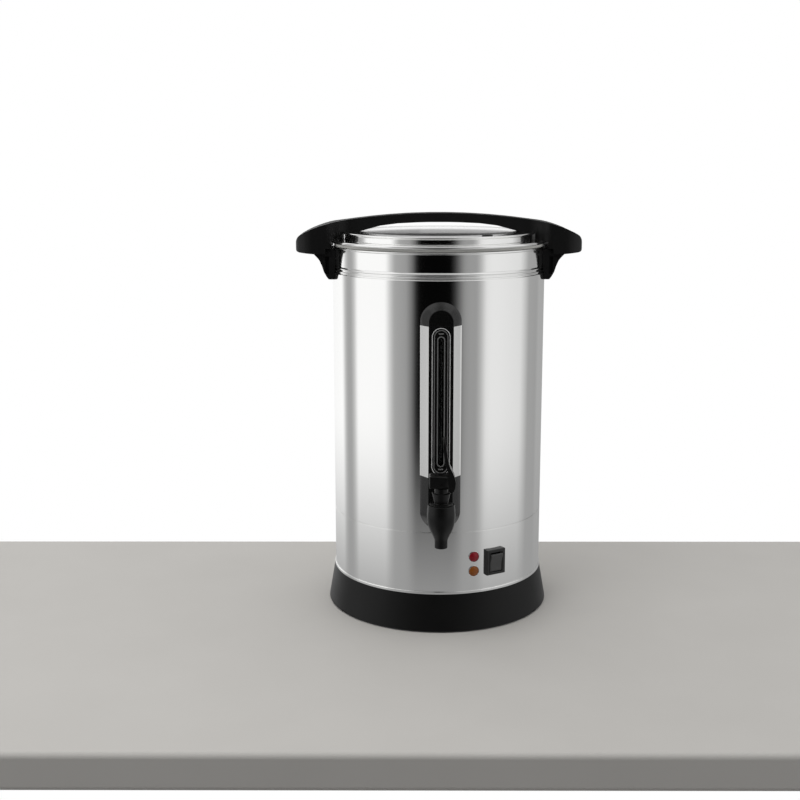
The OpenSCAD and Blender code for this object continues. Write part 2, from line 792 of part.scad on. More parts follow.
module tap_lever() {
    w = blade_w / 2;
    top = hub_bottom + hub_h + blade_h;
    color(black) at_tap() difference() {
        union() {
            translate([-hub_left, -hub_w / 2, hub_bottom]) cube([hub_left + hub_right, hub_w, hub_h]);
            intersection() {
                translate([0, w, 0]) rotate([90, 0, 0]) linear_extrude(blade_w) blade_profile();
                rotate([90, 0, 90]) linear_extrude(60, center = true) union() {
                    translate([-w, hub_bottom - 5]) square([blade_w, top - w - hub_bottom + 5]);
                    translate([0, top - w]) circle(r = w);
                }
            }
        }
        // room for the stem, inside the hub
        translate([-9, -stem_d / 2 - part_gap, hub_bottom - 5]) cube([18, stem_d + 2 * part_gap, 15.4]);
        translate([0, hub_w, pin_z]) outward(pin_r + run_gap, 2 * hub_w);
        translate([-hub_left, 0, hub_bottom]) rotate([0, 30, 0]) cube([6, hub_w + 2, 9], center = true);
    }
}

// ---- lamps and switch ----

// one lamp's coloured lens, with its body through the band
module lamp(i) {
    r = lamp_d / 2 - lamp_rim - nest_gap;
    depth = 14;
    dome_h = 3;
    dome_sphere = (r * r + dome_h * dome_h) / (2 * dome_h);
    around(lamp_az, body_r - depth, lamp_z - i * lamp_pitch) rotate([90, 0, 0]) rotate_extrude()
        polygon(concat([[0, 0], [r - 0.1, 0], [r - 0.1, depth], [r, depth]],
            arc(0, depth + 0.8 + dome_h - dome_sphere, dome_sphere, acos(r / dome_sphere), 90, 8)));
}

module lamp_red() { color([0.6, 0.08, 0.1]) lamp(0); }
module lamp_amber() { color([0.7, 0.35, 0.08]) lamp(1); }

module lamp_bezels() {
    color(steel) for (i = [0, 1]) difference() {
        around(lamp_az, body_r - 2, lamp_z - i * lamp_pitch) outward(lamp_d / 2, 3.4);
        around(lamp_az, body_r - 6, lamp_z - i * lamp_pitch) outward(lamp_d / 2 - lamp_rim, 12);
        translate([0, 0, band_bottom]) cylinder(r = body_r + 0.05, h = band_h, $fn = 720);
    }
}

module switch_frame() {
    color(black) around(switch_az, switch_r, switch_z) difference() {
        union() {
            translate([-switch_w / 2, 0, -switch_h / 2]) cube([switch_w, switch_out + 1.2, switch_h]);
            translate([-switch_w / 2 + 2.3, switch_out, -switch_h / 2 + 2.3])
                cube([switch_w - 4.6, 18, switch_h - 4.6]);
        }
        // the frame's flange stays outside the band, and its body goes through
        difference() {
            translate([0, switch_r, -30]) cylinder(r = body_r + nest_gap, h = 60);
            translate([-switch_w / 2 + 2.2, 0, -switch_h / 2 + 2.2])
                cube([switch_w - 4.4, 40, switch_h - 4.4]);
        }
        translate([-rocker_w / 2 - 0.4, -1, -rocker_h / 2 - 0.4])
            cube([rocker_w + 0.8, 18, rocker_h + 0.8]);
        translate([-20, switch_r - rocker_pivot, 0]) rotate([0, 90, 0])
            cylinder(r = 1.5 + run_gap, h = 40);
    }
}

module switch_rocker() {
    half = rocker_h / 2;
    swing = rocker_swing / 2;
    depth = switch_r - rocker_pivot;
    color([0.22, 0.22, 0.22]) around(switch_az, switch_r, switch_z) {
        translate([0, depth, 0]) rotate([swing, 0, 0]) translate([0, -depth, 0]) {
            translate([-rocker_w / 2, 0, 0]) rotate([90, 0, 90]) linear_extrude(rocker_w)
                polygon([[1, -half + 0.5], [-1.4, -half + 1.2], [0.2, 0], [-1.4, half - 1.2],
                    [1, half - 0.5], [8, 3.6], [8, -3.6]]);
        }
        translate([-rocker_w / 2 - 2, depth, 0]) rotate([0, 90, 0])
            cylinder(r = 1.5, h = rocker_w + 4);
    }
}

// ---- mains inlet and wiring ----

module power_inlet() {
    color(black) around(180, body_r, inlet_z) difference() {
        union() {
            translate([-27, -4, -15]) cube([54, 10, 30]);
            translate([-16, 0, -11]) cube([32, 22, 22]);
        }
        difference() {
            translate([0, body_r, -30]) cylinder(r = body_r + nest_gap, h = 60);
            translate([-16, -2, -11]) cube([32, 40, 22]);
        }
        translate([-12.3, -5, -8.3]) cube([24.6, 21, 16.6]);
        for (i = [-1:1]) translate([i * 7 - 1 - eps, 10, (i == 0 ? 3.5 : -3.5) - 2 - eps])
            cube([2 + 2 * eps, 20, 4 + 2 * eps]);
        for (side = [-1, 1]) translate([side * 22, 20, 0]) outward(1.75, 40);
    }
}

module inlet_pins() {
    color(brass) around(180, body_r, inlet_z) for (i = [-1:1])
        translate([i * 7 - 1, 1, (i == 0 ? 3.5 : -3.5) - 2]) cube([2, inlet_pin_l, 4]);
}

module inlet_screws() {
    color(steel) around(180, body_r, inlet_z) for (side = [-1, 1]) translate([side * 22, 0, 0]) {
        translate([0, -4, 0]) outward(3, 1.8);
        translate([0, 8, 0]) outward(1.6, 12);
    }
}

// three stiff sleeved wires: inlet to heater, inlet to switch, switch to heater
module wiring() {
    r = wire_r;
    tail_z = heater_tube_z - heater_tail - r - part_gap;
    hx = heater_ring_r * cos(20);
    hy = heater_ring_r * sin(20);
    back = body_r - 1 - inlet_pin_l - part_gap - r / 2;
    tail_r = switch_r - switch_out - 18 - r - part_gap;
    sx = tail_r * sin(switch_az);
    sy = -tail_r * cos(switch_az);
    color([0.7, 0.1, 0.1]) {
        rod([7, back, inlet_z - 3.5], [hx, hy, tail_z], r);
        rod([-7, back, inlet_z - 3.5], [sx, sy, switch_z - 6], r);
        rod([sx, sy, switch_z + 6], [hx, -hy, tail_z], r);
    }
}

// ---- brewing ----

module brew_foot() {
    z = floor_top;
    r = brew_tube_d / 2;
    color(steel) difference() {
        rotate_extrude() polygon([[8, z], [30, z], [30, z + 3], [26, z + 8], [12, z + 18],
            [r + 3, z + 22], [r + 3, z + 34], [r + nest_gap, z + 34], [r + nest_gap, z + 22],
            [r - brew_wall, z + 20], [9, z + 14], [9, z + 5], [4, z + 5], [4, z + 3], [8, z + 3]]);
        for (az = [0:60:300]) around(az, 20, z) cube([6, 30, 3], center = true);
    }
}

module brew_valve() {
    color(steel) translate([0, 0, floor_top + 5 + part_gap]) cylinder(r = 7.4, h = 1.6);
}

module brew_tube() {
    r = brew_tube_d / 2;
    z = floor_top + 22;
    top = floor_top + basket_lift + basket_h + tube_over_basket;
    color(steel) difference() {
        union() {
            translate([0, 0, z]) cylinder(r = r, h = top - z);
            translate([0, 0, floor_top + basket_lift - 3]) cylinder(r = r + 5, h = 3);
        }
        translate([0, 0, z - 1]) cylinder(r = r - brew_wall, h = top);
    }
}

module coffee_basket() {
    z = floor_top + basket_lift;
    r = basket_d / 2;
    hub = brew_tube_d / 2 + nest_gap;
    color(steel) difference() {
        rotate_extrude() polygon([[hub, z], [r, z], [r, z + basket_h - 1], [r + 2, z + basket_h - 1],
            [r + 2, z + basket_h], [r - sheet, z + basket_h], [r - sheet, z + sheet],
            [hub + 1.6, z + sheet], [hub + 1.6, z + basket_h - 6], [hub, z + basket_h - 6]]);
        for (ring = [18:12:r - 8]) for (i = [0:7]) rotate([0, 0, i * 45 + ring * 3])
            translate([ring, 0, z - 1]) cylinder(r = 1.5, h = 3, $fn = 16);
    }
}

module basket_lid() {
    z = floor_top + basket_lift + basket_h;
    r = basket_d / 2;
    hub = brew_tube_d / 2 + nest_gap;
    color(steel) difference() {
        rotate_extrude() polygon([[hub, z], [r + 1.6, z], [r + 1.6, z + 4], [r + 1.6 - sheet, z + 4],
            [r + 1.6 - sheet, z + sheet], [hub + 1.6, z + sheet], [hub + 1.6, z + 8], [hub, z + 8]]);
        for (ring = [18:14:r - 8]) for (i = [0:7]) rotate([0, 0, i * 45 + ring * 2])
            translate([ring, 0, z - 1]) cylinder(r = 1.5, h = 3, $fn = 16);
    }
}

// ---- lid ----

module lid_seal() {
    low = rim_top + part_gap;
    color(silicone) rotate_extrude() polygon([[skirt_r + 0.8, low + 0.6], [rim_r - 4.4, low + 0.6],
        [rim_r - 4.2, low], [seal_r, low], [seal_r, low + seal_h], [skirt_r + 0.8, low + seal_h]]);
}

module lid_pan() {
    e = lid_edge_z;
    f = lid_flange_z;
    t = lid_sheet;
    wall = lid_top_r;
    top = lid_top_z;
    crown_r = (dome_r * dome_r + lid_crown * lid_crown) / (2 * lid_crown);
    sweep = asin(dome_r / crown_r);
    color(steel) difference() {
        rotate_extrude() polygon(concat(
            arc(0, top + lid_crown - crown_r, crown_r, 90, 90 - sweep, 12),
            [[wall + lip - 1.2, top]],
            arc(wall + lip - 1.2, top - 1.2, 1.2, 90, -60, 6),
            [[wall, top - 3.4], [wall, e + edge_h + 0.8], [wall + 0.8, e + edge_h]],
            arc(lid_r - edge_h / 2, e + edge_h / 2, edge_h / 2, 90, -90, 10),
            [[lid_r - edge_h, e], [lid_r - edge_h, f], [skirt_r, f], [skirt_r, f - skirt_depth],
             [skirt_r - t, f - skirt_depth], [skirt_r - t, e + edge_h - t], [wall - t, e + edge_h - t],
             [wall - t, top - t - 1], [wall - t - 1, top - t]],
            arc(0, top + lid_crown - crown_r - t, crown_r, 90 - sweep, 90, 12)));
        for (side = [-1, 1]) for (y = [-1, 1])
            translate([side * handle_screw_x, y * handle_screw_y, top - 6]) cylinder(r = 2.3, h = 12);
        around(30, vent_r, top - 6) cylinder(r = 4.2, h = 12);
    }
}

module lid_vent() {
    color(black) around(30, vent_r, lid_top_z - 3) difference() {
        union() {
            cylinder(r = 4.1, h = 4);
            translate([0, 0, 3 + 0.05]) cylinder(r = 6, h = 1.6);
            cylinder(r = 5.2, h = 1.8);
        }
        translate([0, 0, -1]) cylinder(r = 2, h = 8);
    }
}

// the handle seen from the front: a shallow arch whose ends round over into the ears
module handle_outline() {
    crown_r = 782;
    shoulder_x = tip_x - 53;
    a1 = asin(shoulder_x / crown_r);
    shoulder_z = arch_top - crown_r * (1 - cos(a1));
    slope_r = 144;
    a2 = 26;
    cx = shoulder_x - slope_r * sin(a1);
    cz = shoulder_z - slope_r * cos(a1);
    end_x = cx + slope_r * sin(a2);
    end_z = cz + slope_r * cos(a2);
    tx = tip_x - tip_r;
    tz = end_z - tip_r * cos(a2) - 2.4;
    half = concat(
        [for (i = [0:8]) let (a = a1 * i / 8) [crown_r * sin(a), arch_top - crown_r * (1 - cos(a))]],
        [for (i = [1:6]) let (a = a1 + (a2 - a1) * i / 6) [cx + slope_r * sin(a), cz + slope_r * cos(a)]],
        arc(tx, tz, tip_r, 60, 0, 6),
        [[tip_x, ear_bottom + 5], [tip_x - 1.6, ear_bottom + 2.6], [tip_x - 5, ear_bottom + 1.6],
         [split_r + 10, ear_bottom], [foot_x, ear_bottom]],
        [[foot_x, lid_top_z - 1], [foot_x - 13, lid_top_z + 2.4], [foot_x - 31, lid_top_z + 7.4]],
        [for (x = [50, 38, 25, 12]) [x, arch_top - arch_t - x * x / (2 * 771)]]);
    polygon(concat(half, [for (i = [len(half) - 1:-1:0]) [-half[i][0], half[i][1]]]));
}

// the handle seen from above: a bar with a broad round-cornered ear at each end
module handle_plan() {
    inner = body_r - 8;
    flare_x = lid_top_r - 8;
    square([2 * inner + 4, arch_w], center = true);
    for (side = [0, 1]) mirror([side, 0]) {
        polygon([[flare_x, -arch_w / 2], [inner - 2, -ear_w / 2 + 14], [inner + 6, -ear_w / 2 + 5],
            [inner + 14, -ear_w / 2], [tip_x - ear_corner, -ear_w / 2], [tip_x - ear_corner, ear_w / 2],
            [inner + 14, ear_w / 2], [inner + 6, ear_w / 2 - 5], [inner - 2, ear_w / 2 - 14],
            [flare_x, arch_w / 2]]);
        translate([inner + 4, -ear_w / 2 + ear_corner])
            square([tip_x - inner - 4, ear_w - 2 * ear_corner]);
        for (y = [-1, 1]) translate([tip_x - ear_corner, y * (ear_w / 2 - ear_corner)])
            circle(r = ear_corner);
    }
}

// what the handle fits over: the lid, its seal, the neck and the brackets under the ears
module handle_clearance() {
    top = lid_top_z;
    wall = lid_top_r + lip + nest_gap;
    rotate_extrude() polygon([[0, 0], [split_r + part_gap, 0], [split_r + part_gap, bracket_inner_top + part_gap],
        [lid_r + 3, bracket_inner_top + part_gap], [lid_r + 3, lid_edge_z + edge_h - 2],
        [lid_r + nest_gap, lid_edge_z + edge_h - 2], [lid_r + nest_gap, lid_edge_z + edge_h],
        [wall, lid_edge_z + edge_h], [wall, top], [0, top]]);
}

module lid_handle() {
    color(black) difference() {
        intersection() {
            translate([0, 60, 0]) rotate([90, 0, 0]) linear_extrude(120) handle_outline();
            translate([0, 0, ear_bottom - 5]) linear_extrude(arch_top - ear_bottom + 10) handle_plan();
        }
        handle_clearance();
        for (side = [-1, 1]) for (y = [-1, 1])
            translate([side * handle_screw_x, y * handle_screw_y, lid_top_z - 1])
                cylinder(r = 1.9, h = 11);
    }
}

module handle_screws() {
    color(steel) for (side = [-1, 1]) for (y = [-1, 1])
        translate([side * handle_screw_x, y * handle_screw_y, lid_top_z - lid_sheet - 2.6]) {
            cylinder(r = 3.6, h = 2.2);
            cylinder(r = 1.8, h = 11);
        }
}

base_ring();
base_plate();
base_screws();
rubber_feet();
trim_ring();
lower_band();
jacket();
collar();
tank();
tank_studs();
stud_nuts();
bracket_left();
bracket_right();
bracket_screws();
heater_plate();
heater_tube();
boil_thermostat();
warm_thermostat();
thermal_cutout();
gauge_top_cap();
gauge_bottom_cap();
gauge_panel();
gauge_strip_left();
gauge_strip_right();
sight_tube();
gauge_fittings();
fitting_nuts();
tap_body();
tap_nut();
tap_washers();
tap_bonnet();
tap_seat_cup();
tap_spring();
tap_stem();
lever_pin();
tap_lever();
lamp_red();
lamp_amber();
lamp_bezels();
switch_frame();
switch_rocker();
power_inlet();
inlet_pins();
inlet_screws();
wiring();
brew_foot();
brew_tube();
brew_valve();
coffee_basket();
basket_lid();
lid_seal();
lid_pan();
lid_handle();
handle_screws();
lid_vent();
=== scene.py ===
import math
import bmesh
import bpy
from mathutils import Matrix, Vector


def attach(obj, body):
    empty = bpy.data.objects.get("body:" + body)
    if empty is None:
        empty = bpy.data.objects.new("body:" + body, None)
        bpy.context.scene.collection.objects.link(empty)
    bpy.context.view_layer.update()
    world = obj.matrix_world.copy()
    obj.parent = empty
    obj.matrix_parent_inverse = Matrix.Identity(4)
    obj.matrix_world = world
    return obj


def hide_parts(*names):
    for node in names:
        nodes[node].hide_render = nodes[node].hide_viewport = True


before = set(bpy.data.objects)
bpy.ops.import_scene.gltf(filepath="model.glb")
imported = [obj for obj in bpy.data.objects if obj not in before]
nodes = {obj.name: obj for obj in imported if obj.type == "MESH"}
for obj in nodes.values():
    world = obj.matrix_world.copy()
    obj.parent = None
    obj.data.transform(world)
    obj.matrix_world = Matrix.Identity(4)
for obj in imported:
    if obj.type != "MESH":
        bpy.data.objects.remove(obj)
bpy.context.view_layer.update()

# ---- camera ----
# The camera stands 1.5 m in front of the urn and a little over its lid, as the picture was
# taken, and looks down at it by 11.3 degrees through a 55 mm lens.
camera_place = (-0.0392, -1.5218, 0.5599)
camera_pan = math.radians(0.315)
camera_tilt = math.radians(78.684)
camera_roll = math.radians(-0.078)
bpy.ops.object.select_all(action="DESELECT")
bpy.ops.object.camera_add()
camera = bpy.context.object
camera.name = "camera"
camera.data.sensor_width = 36
camera.data.lens = 55.43
camera.matrix_world = (
    Matrix.Translation(camera_place)
    @ Matrix.Rotation(camera_pan, 4, "Z")
    @ Matrix.Rotation(camera_tilt, 4, "X")
    @ Matrix.Rotation(camera_roll, 4, "Z")
)
bpy.context.scene.camera = camera
bpy.context.scene.view_settings.view_transform = "Standard"

# ---- table ----
# A plain pale table top, a thick painted board with softened edges. It ends a little behind
# the urn, so the studio's white wall shows over its far edge. The urn's steel doesn't mirror it.
table_back = 0.22
table_front = -0.44
table_width = 1.3
table_thick = 0.04
table_edge = 0.006


def nodes_of(material):
    material.use_nodes = True
    tree = material.node_tree
    return tree, tree.nodes, tree.nodes["Principled BSDF"]


def soften(piece, width, segments=3, angle=35, smooth=40):
    """Rounds every sharp edge of a piece and shades it smooth, with its broad faces left flat."""
    bpy.ops.object.select_all(action="DESELECT")
    piece.select_set(True)
    bpy.context.view_layer.objects.active = piece
    if width:
        bevel = piece.modifiers.new("edges", "BEVEL")
        bevel.width = width
        bevel.segments = segments
        bevel.limit_method = "ANGLE"
        bevel.angle_limit = math.radians(angle)
        bevel.use_clamp_overlap = True
        bevel.harden_normals = False
        bpy.ops.object.modifier_apply(modifier="edges")
    bpy.ops.object.shade_smooth_by_angle(angle=math.radians(smooth))
    even = piece.modifiers.new("even", "WEIGHTED_NORMAL")
    even.keep_sharp = True
    even.weight = 100
    bpy.ops.object.modifier_apply(modifier="even")


bpy.ops.object.select_all(action="DESELECT")
bpy.ops.mesh.primitive_cube_add(size=1)
table = bpy.context.object
table.name = "table_top"
table.scale = (table_width, table_back - table_front, table_thick)
table.location = (0, (table_back + table_front) / 2, -table_thick / 2)
bpy.ops.object.transform_apply(location=True, rotation=True, scale=True)
soften(table, table_edge)
table_paint = bpy.data.materials.new("table_paint")
tree, made, paint = nodes_of(table_paint)
where = made.new("ShaderNodeTexCoord")
mottle = made.new("ShaderNodeTexNoise")
mottle.inputs["Scale"].default_value = 9
mottle.inputs["Detail"].default_value = 6
shade = made.new("ShaderNodeValToRGB")
shade.color_ramp.elements[0].color = (0.52, 0.505, 0.48, 1)
shade.color_ramp.elements[1].color = (0.56, 0.545, 0.52, 1)
tree.links.new(where.outputs["Object"], mottle.inputs["Vector"])
tree.links.new(mottle.outputs["Fac"], shade.inputs["Fac"])
tree.links.new(shade.outputs["Color"], paint.inputs["Base Color"])
paint.inputs["Roughness"].default_value = 0.7
paint.inputs["Specular IOR Level"].default_value = 0.2
table.data.materials.append(table_paint)
table.visible_glossy = False

# ---- studio ----
# A round tent of white and grey panels, with a dark one behind the camera, gives the polished
# steel its bands. Low down the panels blend to one dusky grey, a floor sheet and a roof sheet
# close the tent, and a soft lamp hangs above. The camera doesn't see the tent.
tent_radius = 2.6
tent_floor = -1.2
tent_roof = 2.4
tent_sides = 128
tent_tones = [
    (-180, 0.30), (-176, 0.30), (-168, 0.95), (-127, 1.02), (-120, 0.53), (-115, 0.38), (-108, 0.37),
    (-102, 0.57), (-96.5, 1.0), (-58.5, 1.0), (-53, 0.62), (-48, 0.38), (-35, 0.32), (-29, 0.17),
    (-24.5, 0.02), (-21, 0.001), (12, 0.001), (16, 0.035), (20, 0.12), (26, 0.28), (32, 0.32),
    (39, 0.32), (44, 0.47), (50, 0.76), (56, 0.81), (68, 0.80), (96, 0.74), (105, 0.52),
    (111, 0.36), (129, 0.34), (136, 0.40), (180, 0.38),
]
dusk_tone = 0.33
dusk_starts = -0.25
dusk_ends = -1.05
roof_tone = 0.85
back_panel_from = 2.48
back_panel_full = 2.56
back_panel_top = 0.70
back_panel_soft = 0.12
# A Mix node's sockets share their names, so its two colours and its result go by number.
mix_first, mix_second, mix_result = 6, 7, 2


def light_cloth(sheet, name):
    """Names a sheet of the tent and hides it from the camera and from the lamp."""
    sheet.name = name
    sheet.visible_camera = False
    sheet.visible_shadow = False


bpy.ops.object.select_all(action="DESELECT")
bpy.ops.mesh.primitive_cylinder_add(
    vertices=tent_sides, radius=tent_radius, depth=tent_roof - tent_floor, end_fill_type="NOTHING")
tent = bpy.context.object
tent.location = (0, 0, (tent_floor + tent_roof) / 2)
bpy.ops.object.transform_apply(location=True, rotation=True, scale=True)
light_cloth(tent, "studio_tent")
tent_cloth = bpy.data.materials.new("tent_cloth")
tent_cloth.use_nodes = True
tree = tent_cloth.node_tree
made = tree.nodes
made.clear()
where = made.new("ShaderNodeTexCoord")
split = made.new("ShaderNodeSeparateXYZ")
flip = made.new("ShaderNodeMath")
flip.operation = "MULTIPLY"
flip.inputs[1].default_value = -1
bearing = made.new("ShaderNodeMath")
bearing.operation = "ARCTAN2"
share = made.new("ShaderNodeMapRange")
share.inputs["From Min"].default_value = -math.pi
share.inputs["From Max"].default_value = math.pi
tones = made.new("ShaderNodeValToRGB")
for place, (angle, tone) in enumerate(tent_tones):
    spot = (angle + 180) / 360
    if place == 0:
        stop = tones.color_ramp.elements[0]
        stop.position = spot
    elif place == len(tent_tones) - 1:
        stop = tones.color_ramp.elements[-1]
        stop.position = spot
    else:
        stop = tones.color_ramp.elements.new(spot)
    stop.color = (tone, tone, tone, 1)
fade = made.new("ShaderNodeMapRange")
fade.interpolation_type = "SMOOTHSTEP"
fade.inputs["From Min"].default_value = dusk_starts
fade.inputs["From Max"].default_value = dusk_ends
dusk = made.new("ShaderNodeMix")
dusk.data_type = "RGBA"
dusk.inputs[mix_second].default_value = (dusk_tone, dusk_tone, dusk_tone, 1)
behind = made.new("ShaderNodeMapRange")
behind.interpolation_type = "SMOOTHSTEP"
behind.inputs["From Min"].default_value = back_panel_from
behind.inputs["From Max"].default_value = back_panel_full
low = made.new("ShaderNodeMapRange")
low.interpolation_type = "SMOOTHSTEP"
low.inputs["From Min"].default_value = back_panel_top
low.inputs["From Max"].default_value = back_panel_top - back_panel_soft
both = made.new("ShaderNodeMath")
both.operation = "MULTIPLY"
brighter = made.new("ShaderNodeMath")
brighter.operation = "MAXIMUM"
glow = made.new("ShaderNodeEmission")
out = made.new("ShaderNodeOutputMaterial")
tree.links.new(where.outputs["Object"], split.inputs[0])
tree.links.new(split.outputs["Y"], flip.inputs[0])
tree.links.new(split.outputs["X"], bearing.inputs[0])
tree.links.new(flip.outputs[0], bearing.inputs[1])
tree.links.new(bearing.outputs[0], share.inputs["Value"])
tree.links.new(share.outputs[0], tones.inputs["Fac"])
tree.links.new(split.outputs["Z"], fade.inputs["Value"])
tree.links.new(split.outputs["Y"], behind.inputs["Value"])
tree.links.new(split.outputs["Z"], low.inputs["Value"])
tree.links.new(behind.outputs[0], both.inputs[0])
tree.links.new(low.outputs[0], both.inputs[1])
tree.links.new(both.outputs[0], brighter.inputs[0])
tree.links.new(tones.outputs["Color"], brighter.inputs[1])
tree.links.new(fade.outputs[0], dusk.inputs["Factor"])
tree.links.new(brighter.outputs[0], dusk.inputs[mix_first])
tree.links.new(dusk.outputs[mix_result], glow.inputs["Color"])
tree.links.new(glow.outputs[0], out.inputs["Surface"])
tent.data.materials.append(tent_cloth)

for name, z, dusk_share, tone in (
        ("floor", tent_floor, 0.5, dusk_tone),
        ("roof", tent_roof, 0.6, roof_tone)):
    bpy.ops.object.select_all(action="DESELECT")
    bpy.ops.mesh.primitive_circle_add(vertices=tent_sides, radius=tent_radius, fill_type="NGON")
    sheet = bpy.context.object
    sheet.location = (0, 0, z)
    bpy.ops.object.transform_apply(location=True, rotation=True, scale=True)
    light_cloth(sheet, "studio_tent_" + name)
    sheet.visible_diffuse = name == "floor"
    sheet_cloth = tent_cloth.copy()
    sheet_nodes = sheet_cloth.node_tree.nodes
    for end in ("To Min", "To Max"):
        sheet_nodes[fade.name].inputs[end].default_value = dusk_share
    sheet_nodes[dusk.name].inputs[mix_second].default_value = (tone, tone, tone, 1)
    sheet.data.materials.append(sheet_cloth)

world = bpy.data.worlds.new("studio_air")
bpy.context.scene.world = world
world.use_nodes = True
world.node_tree.nodes["Background"].inputs["Color"].default_value = (1, 1, 1, 1)
world.node_tree.nodes["Background"].inputs["Strength"].default_value = 1.0

lamp_place = (-0.9, -1.1, 2.3)
lamp_aim = (0.9, 1.1, -2.0)
bpy.ops.object.light_add(type="AREA", location=lamp_place)
top_light = bpy.context.object
top_light.name = "top_light"
top_light.data.shape = "DISK"
top_light.data.size = 1.4
top_light.data.energy = 14
top_light.rotation_euler = Vector(lamp_aim).to_track_quat("-Z", "Y").to_euler()
top_light.visible_glossy = False

# ---- base ----
# The black base is one moulding that flares to the table, with two small notches in its
# lower edge. Four rubber feet, screws and a slotted steel plate close it from below.
base_r = 138.6
base_top_r = 131
base_h = 45.7
base_in_r = 114
base_wall = 3
notch_az = 59


def bend(cx, cz, r, a0, a1, n):
    """Points along an arc, in a profile's radius and height, by angles in degrees from level."""
    turns = [math.radians(a0 + (a1 - a0) * i / n) for i in range(n + 1)]
    return [(cx + r * math.cos(turn), cz + r * math.sin(turn)) for turn in turns]


def trace(name, points):
    """Draws a closed line through points in millimetres, by pulling one corner along them."""
    bpy.ops.object.select_all(action="DESELECT")
    bpy.ops.mesh.primitive_plane_add(size=0.001)
    piece = bpy.context.object
    piece.name = name
    bpy.ops.object.mode_set(mode="EDIT")
    bpy.ops.mesh.select_mode(type="VERT")
    bpy.ops.mesh.select_all(action="SELECT")
    bpy.ops.mesh.merge(type="CENTER")
    spots = [Vector(p) * 0.001 for p in points]
    bpy.ops.transform.translate(value=spots[0])
    for a, b in zip(spots, spots[1:] + spots[:1]):
        bpy.ops.mesh.extrude_region_move(TRANSFORM_OT_translate={"value": b - a})
    bpy.ops.mesh.select_all(action="SELECT")
    bpy.ops.mesh.remove_doubles(threshold=1e-6)
    return piece


def turned(name, profile, steps=192):
    """A turned piece, spun about the urn's axis from a profile of radius and height in millimetres."""
    piece = trace(name, [(r, 0, z) for r, z in profile])
    bpy.ops.mesh.spin(steps=steps, angle=2 * math.pi, center=(0, 0, 0), axis=(0, 0, 1))
    bpy.ops.mesh.select_all(action="SELECT")
    bpy.ops.mesh.remove_doubles(threshold=2e-6)
    bpy.ops.mesh.select_all(action="SELECT")
    bpy.ops.mesh.normals_make_consistent(inside=False)
    bpy.ops.object.mode_set(mode="OBJECT")
    return piece


def slab(name, points, pull):
    """A flat outline filled and pulled into a block, all in millimetres."""
    piece = trace(name, points)
    bpy.ops.mesh.select_all(action="SELECT")
    bpy.ops.mesh.edge_face_add()
    bpy.ops.mesh.select_all(action="SELECT")
    bpy.ops.mesh.extrude_region_move(TRANSFORM_OT_translate={"value": Vector(pull) * 0.001})
    bpy.ops.mesh.select_all(action="SELECT")
    bpy.ops.mesh.normals_make_consistent(inside=False)
    bpy.ops.object.mode_set(mode="OBJECT")
    return piece


def block(name, low, high):
    """A rectangular block between two corners in millimetres."""
    bpy.ops.object.select_all(action="DESELECT")
    bpy.ops.mesh.primitive_cube_add(size=1)
    piece = bpy.context.object
    piece.name = name
    piece.scale = [(b - a) * 0.001 for a, b in zip(low, high)]
    piece.location = [(a + b) * 0.0005 for a, b in zip(low, high)]
    bpy.ops.object.transform_apply(location=True, rotation=True, scale=True)
    return piece


def carve(piece, tool, how="DIFFERENCE"):
    """Cuts a tool out of a piece, or joins or intersects the two, and takes the tool away."""
    bpy.ops.object.select_all(action="DESELECT")
    piece.select_set(True)
    bpy.context.view_layer.objects.active = piece
    cut = piece.modifiers.new("cut", "BOOLEAN")
    cut.operation = how
    cut.solver = "EXACT"
    cut.object = tool
    bpy.ops.object.modifier_apply(modifier="cut")
    bpy.data.objects.remove(tool)
    return piece


def fit(piece, body, slot, material, *stands_for):
    """Gives a finished piece its material and its body, and hides the CAD nodes that it stands for."""
    piece.data.materials.clear()
    piece.data.materials.append(material)
    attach(piece, body)
    if stands_for:
        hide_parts(*stands_for)


def moulded(name, colour, roughness, grain, gloss=0.4):
    """Black or coloured moulded plastic: fine spark grain, and roughness that varies a little."""
    material = bpy.data.materials.new(name)
    tree, made, surface = nodes_of(material)
    where = made.new("ShaderNodeTexCoord")
    cloud = made.new("ShaderNodeTexNoise")
    cloud.inputs["Scale"].default_value = 35
    cloud.inputs["Detail"].default_value = 5
    spread = made.new("ShaderNodeMapRange")
    spread.inputs["To Min"].default_value = roughness * 0.85
    spread.inputs["To Max"].default_value = roughness * 1.15
    tint = made.new("ShaderNodeValToRGB")
    tint.color_ramp.elements[0].color = (*[c * 0.9 for c in colour], 1)
    tint.color_ramp.elements[1].color = (*[min(1, c * 1.1) for c in colour], 1)
    spark = made.new("ShaderNodeTexNoise")
    spark.inputs["Scale"].default_value = 1400
    spark.inputs["Detail"].default_value = 2
    bump = made.new("ShaderNodeBump")
    bump.inputs["Strength"].default_value = grain
    bump.inputs["Distance"].default_value = 0.0002
    for texture in (cloud, spark):
        tree.links.new(where.outputs["Object"], texture.inputs["Vector"])
    tree.links.new(cloud.outputs["Fac"], spread.inputs["Value"])
    tree.links.new(cloud.outputs["Fac"], tint.inputs["Fac"])
    tree.links.new(spread.outputs[0], surface.inputs["Roughness"])
    tree.links.new(tint.outputs["Color"], surface.inputs["Base Color"])
    tree.links.new(spark.outputs["Fac"], bump.inputs["Height"])
    tree.links.new(bump.outputs["Normal"], surface.inputs["Normal"])
    surface.inputs["Specular IOR Level"].default_value = gloss
    return material


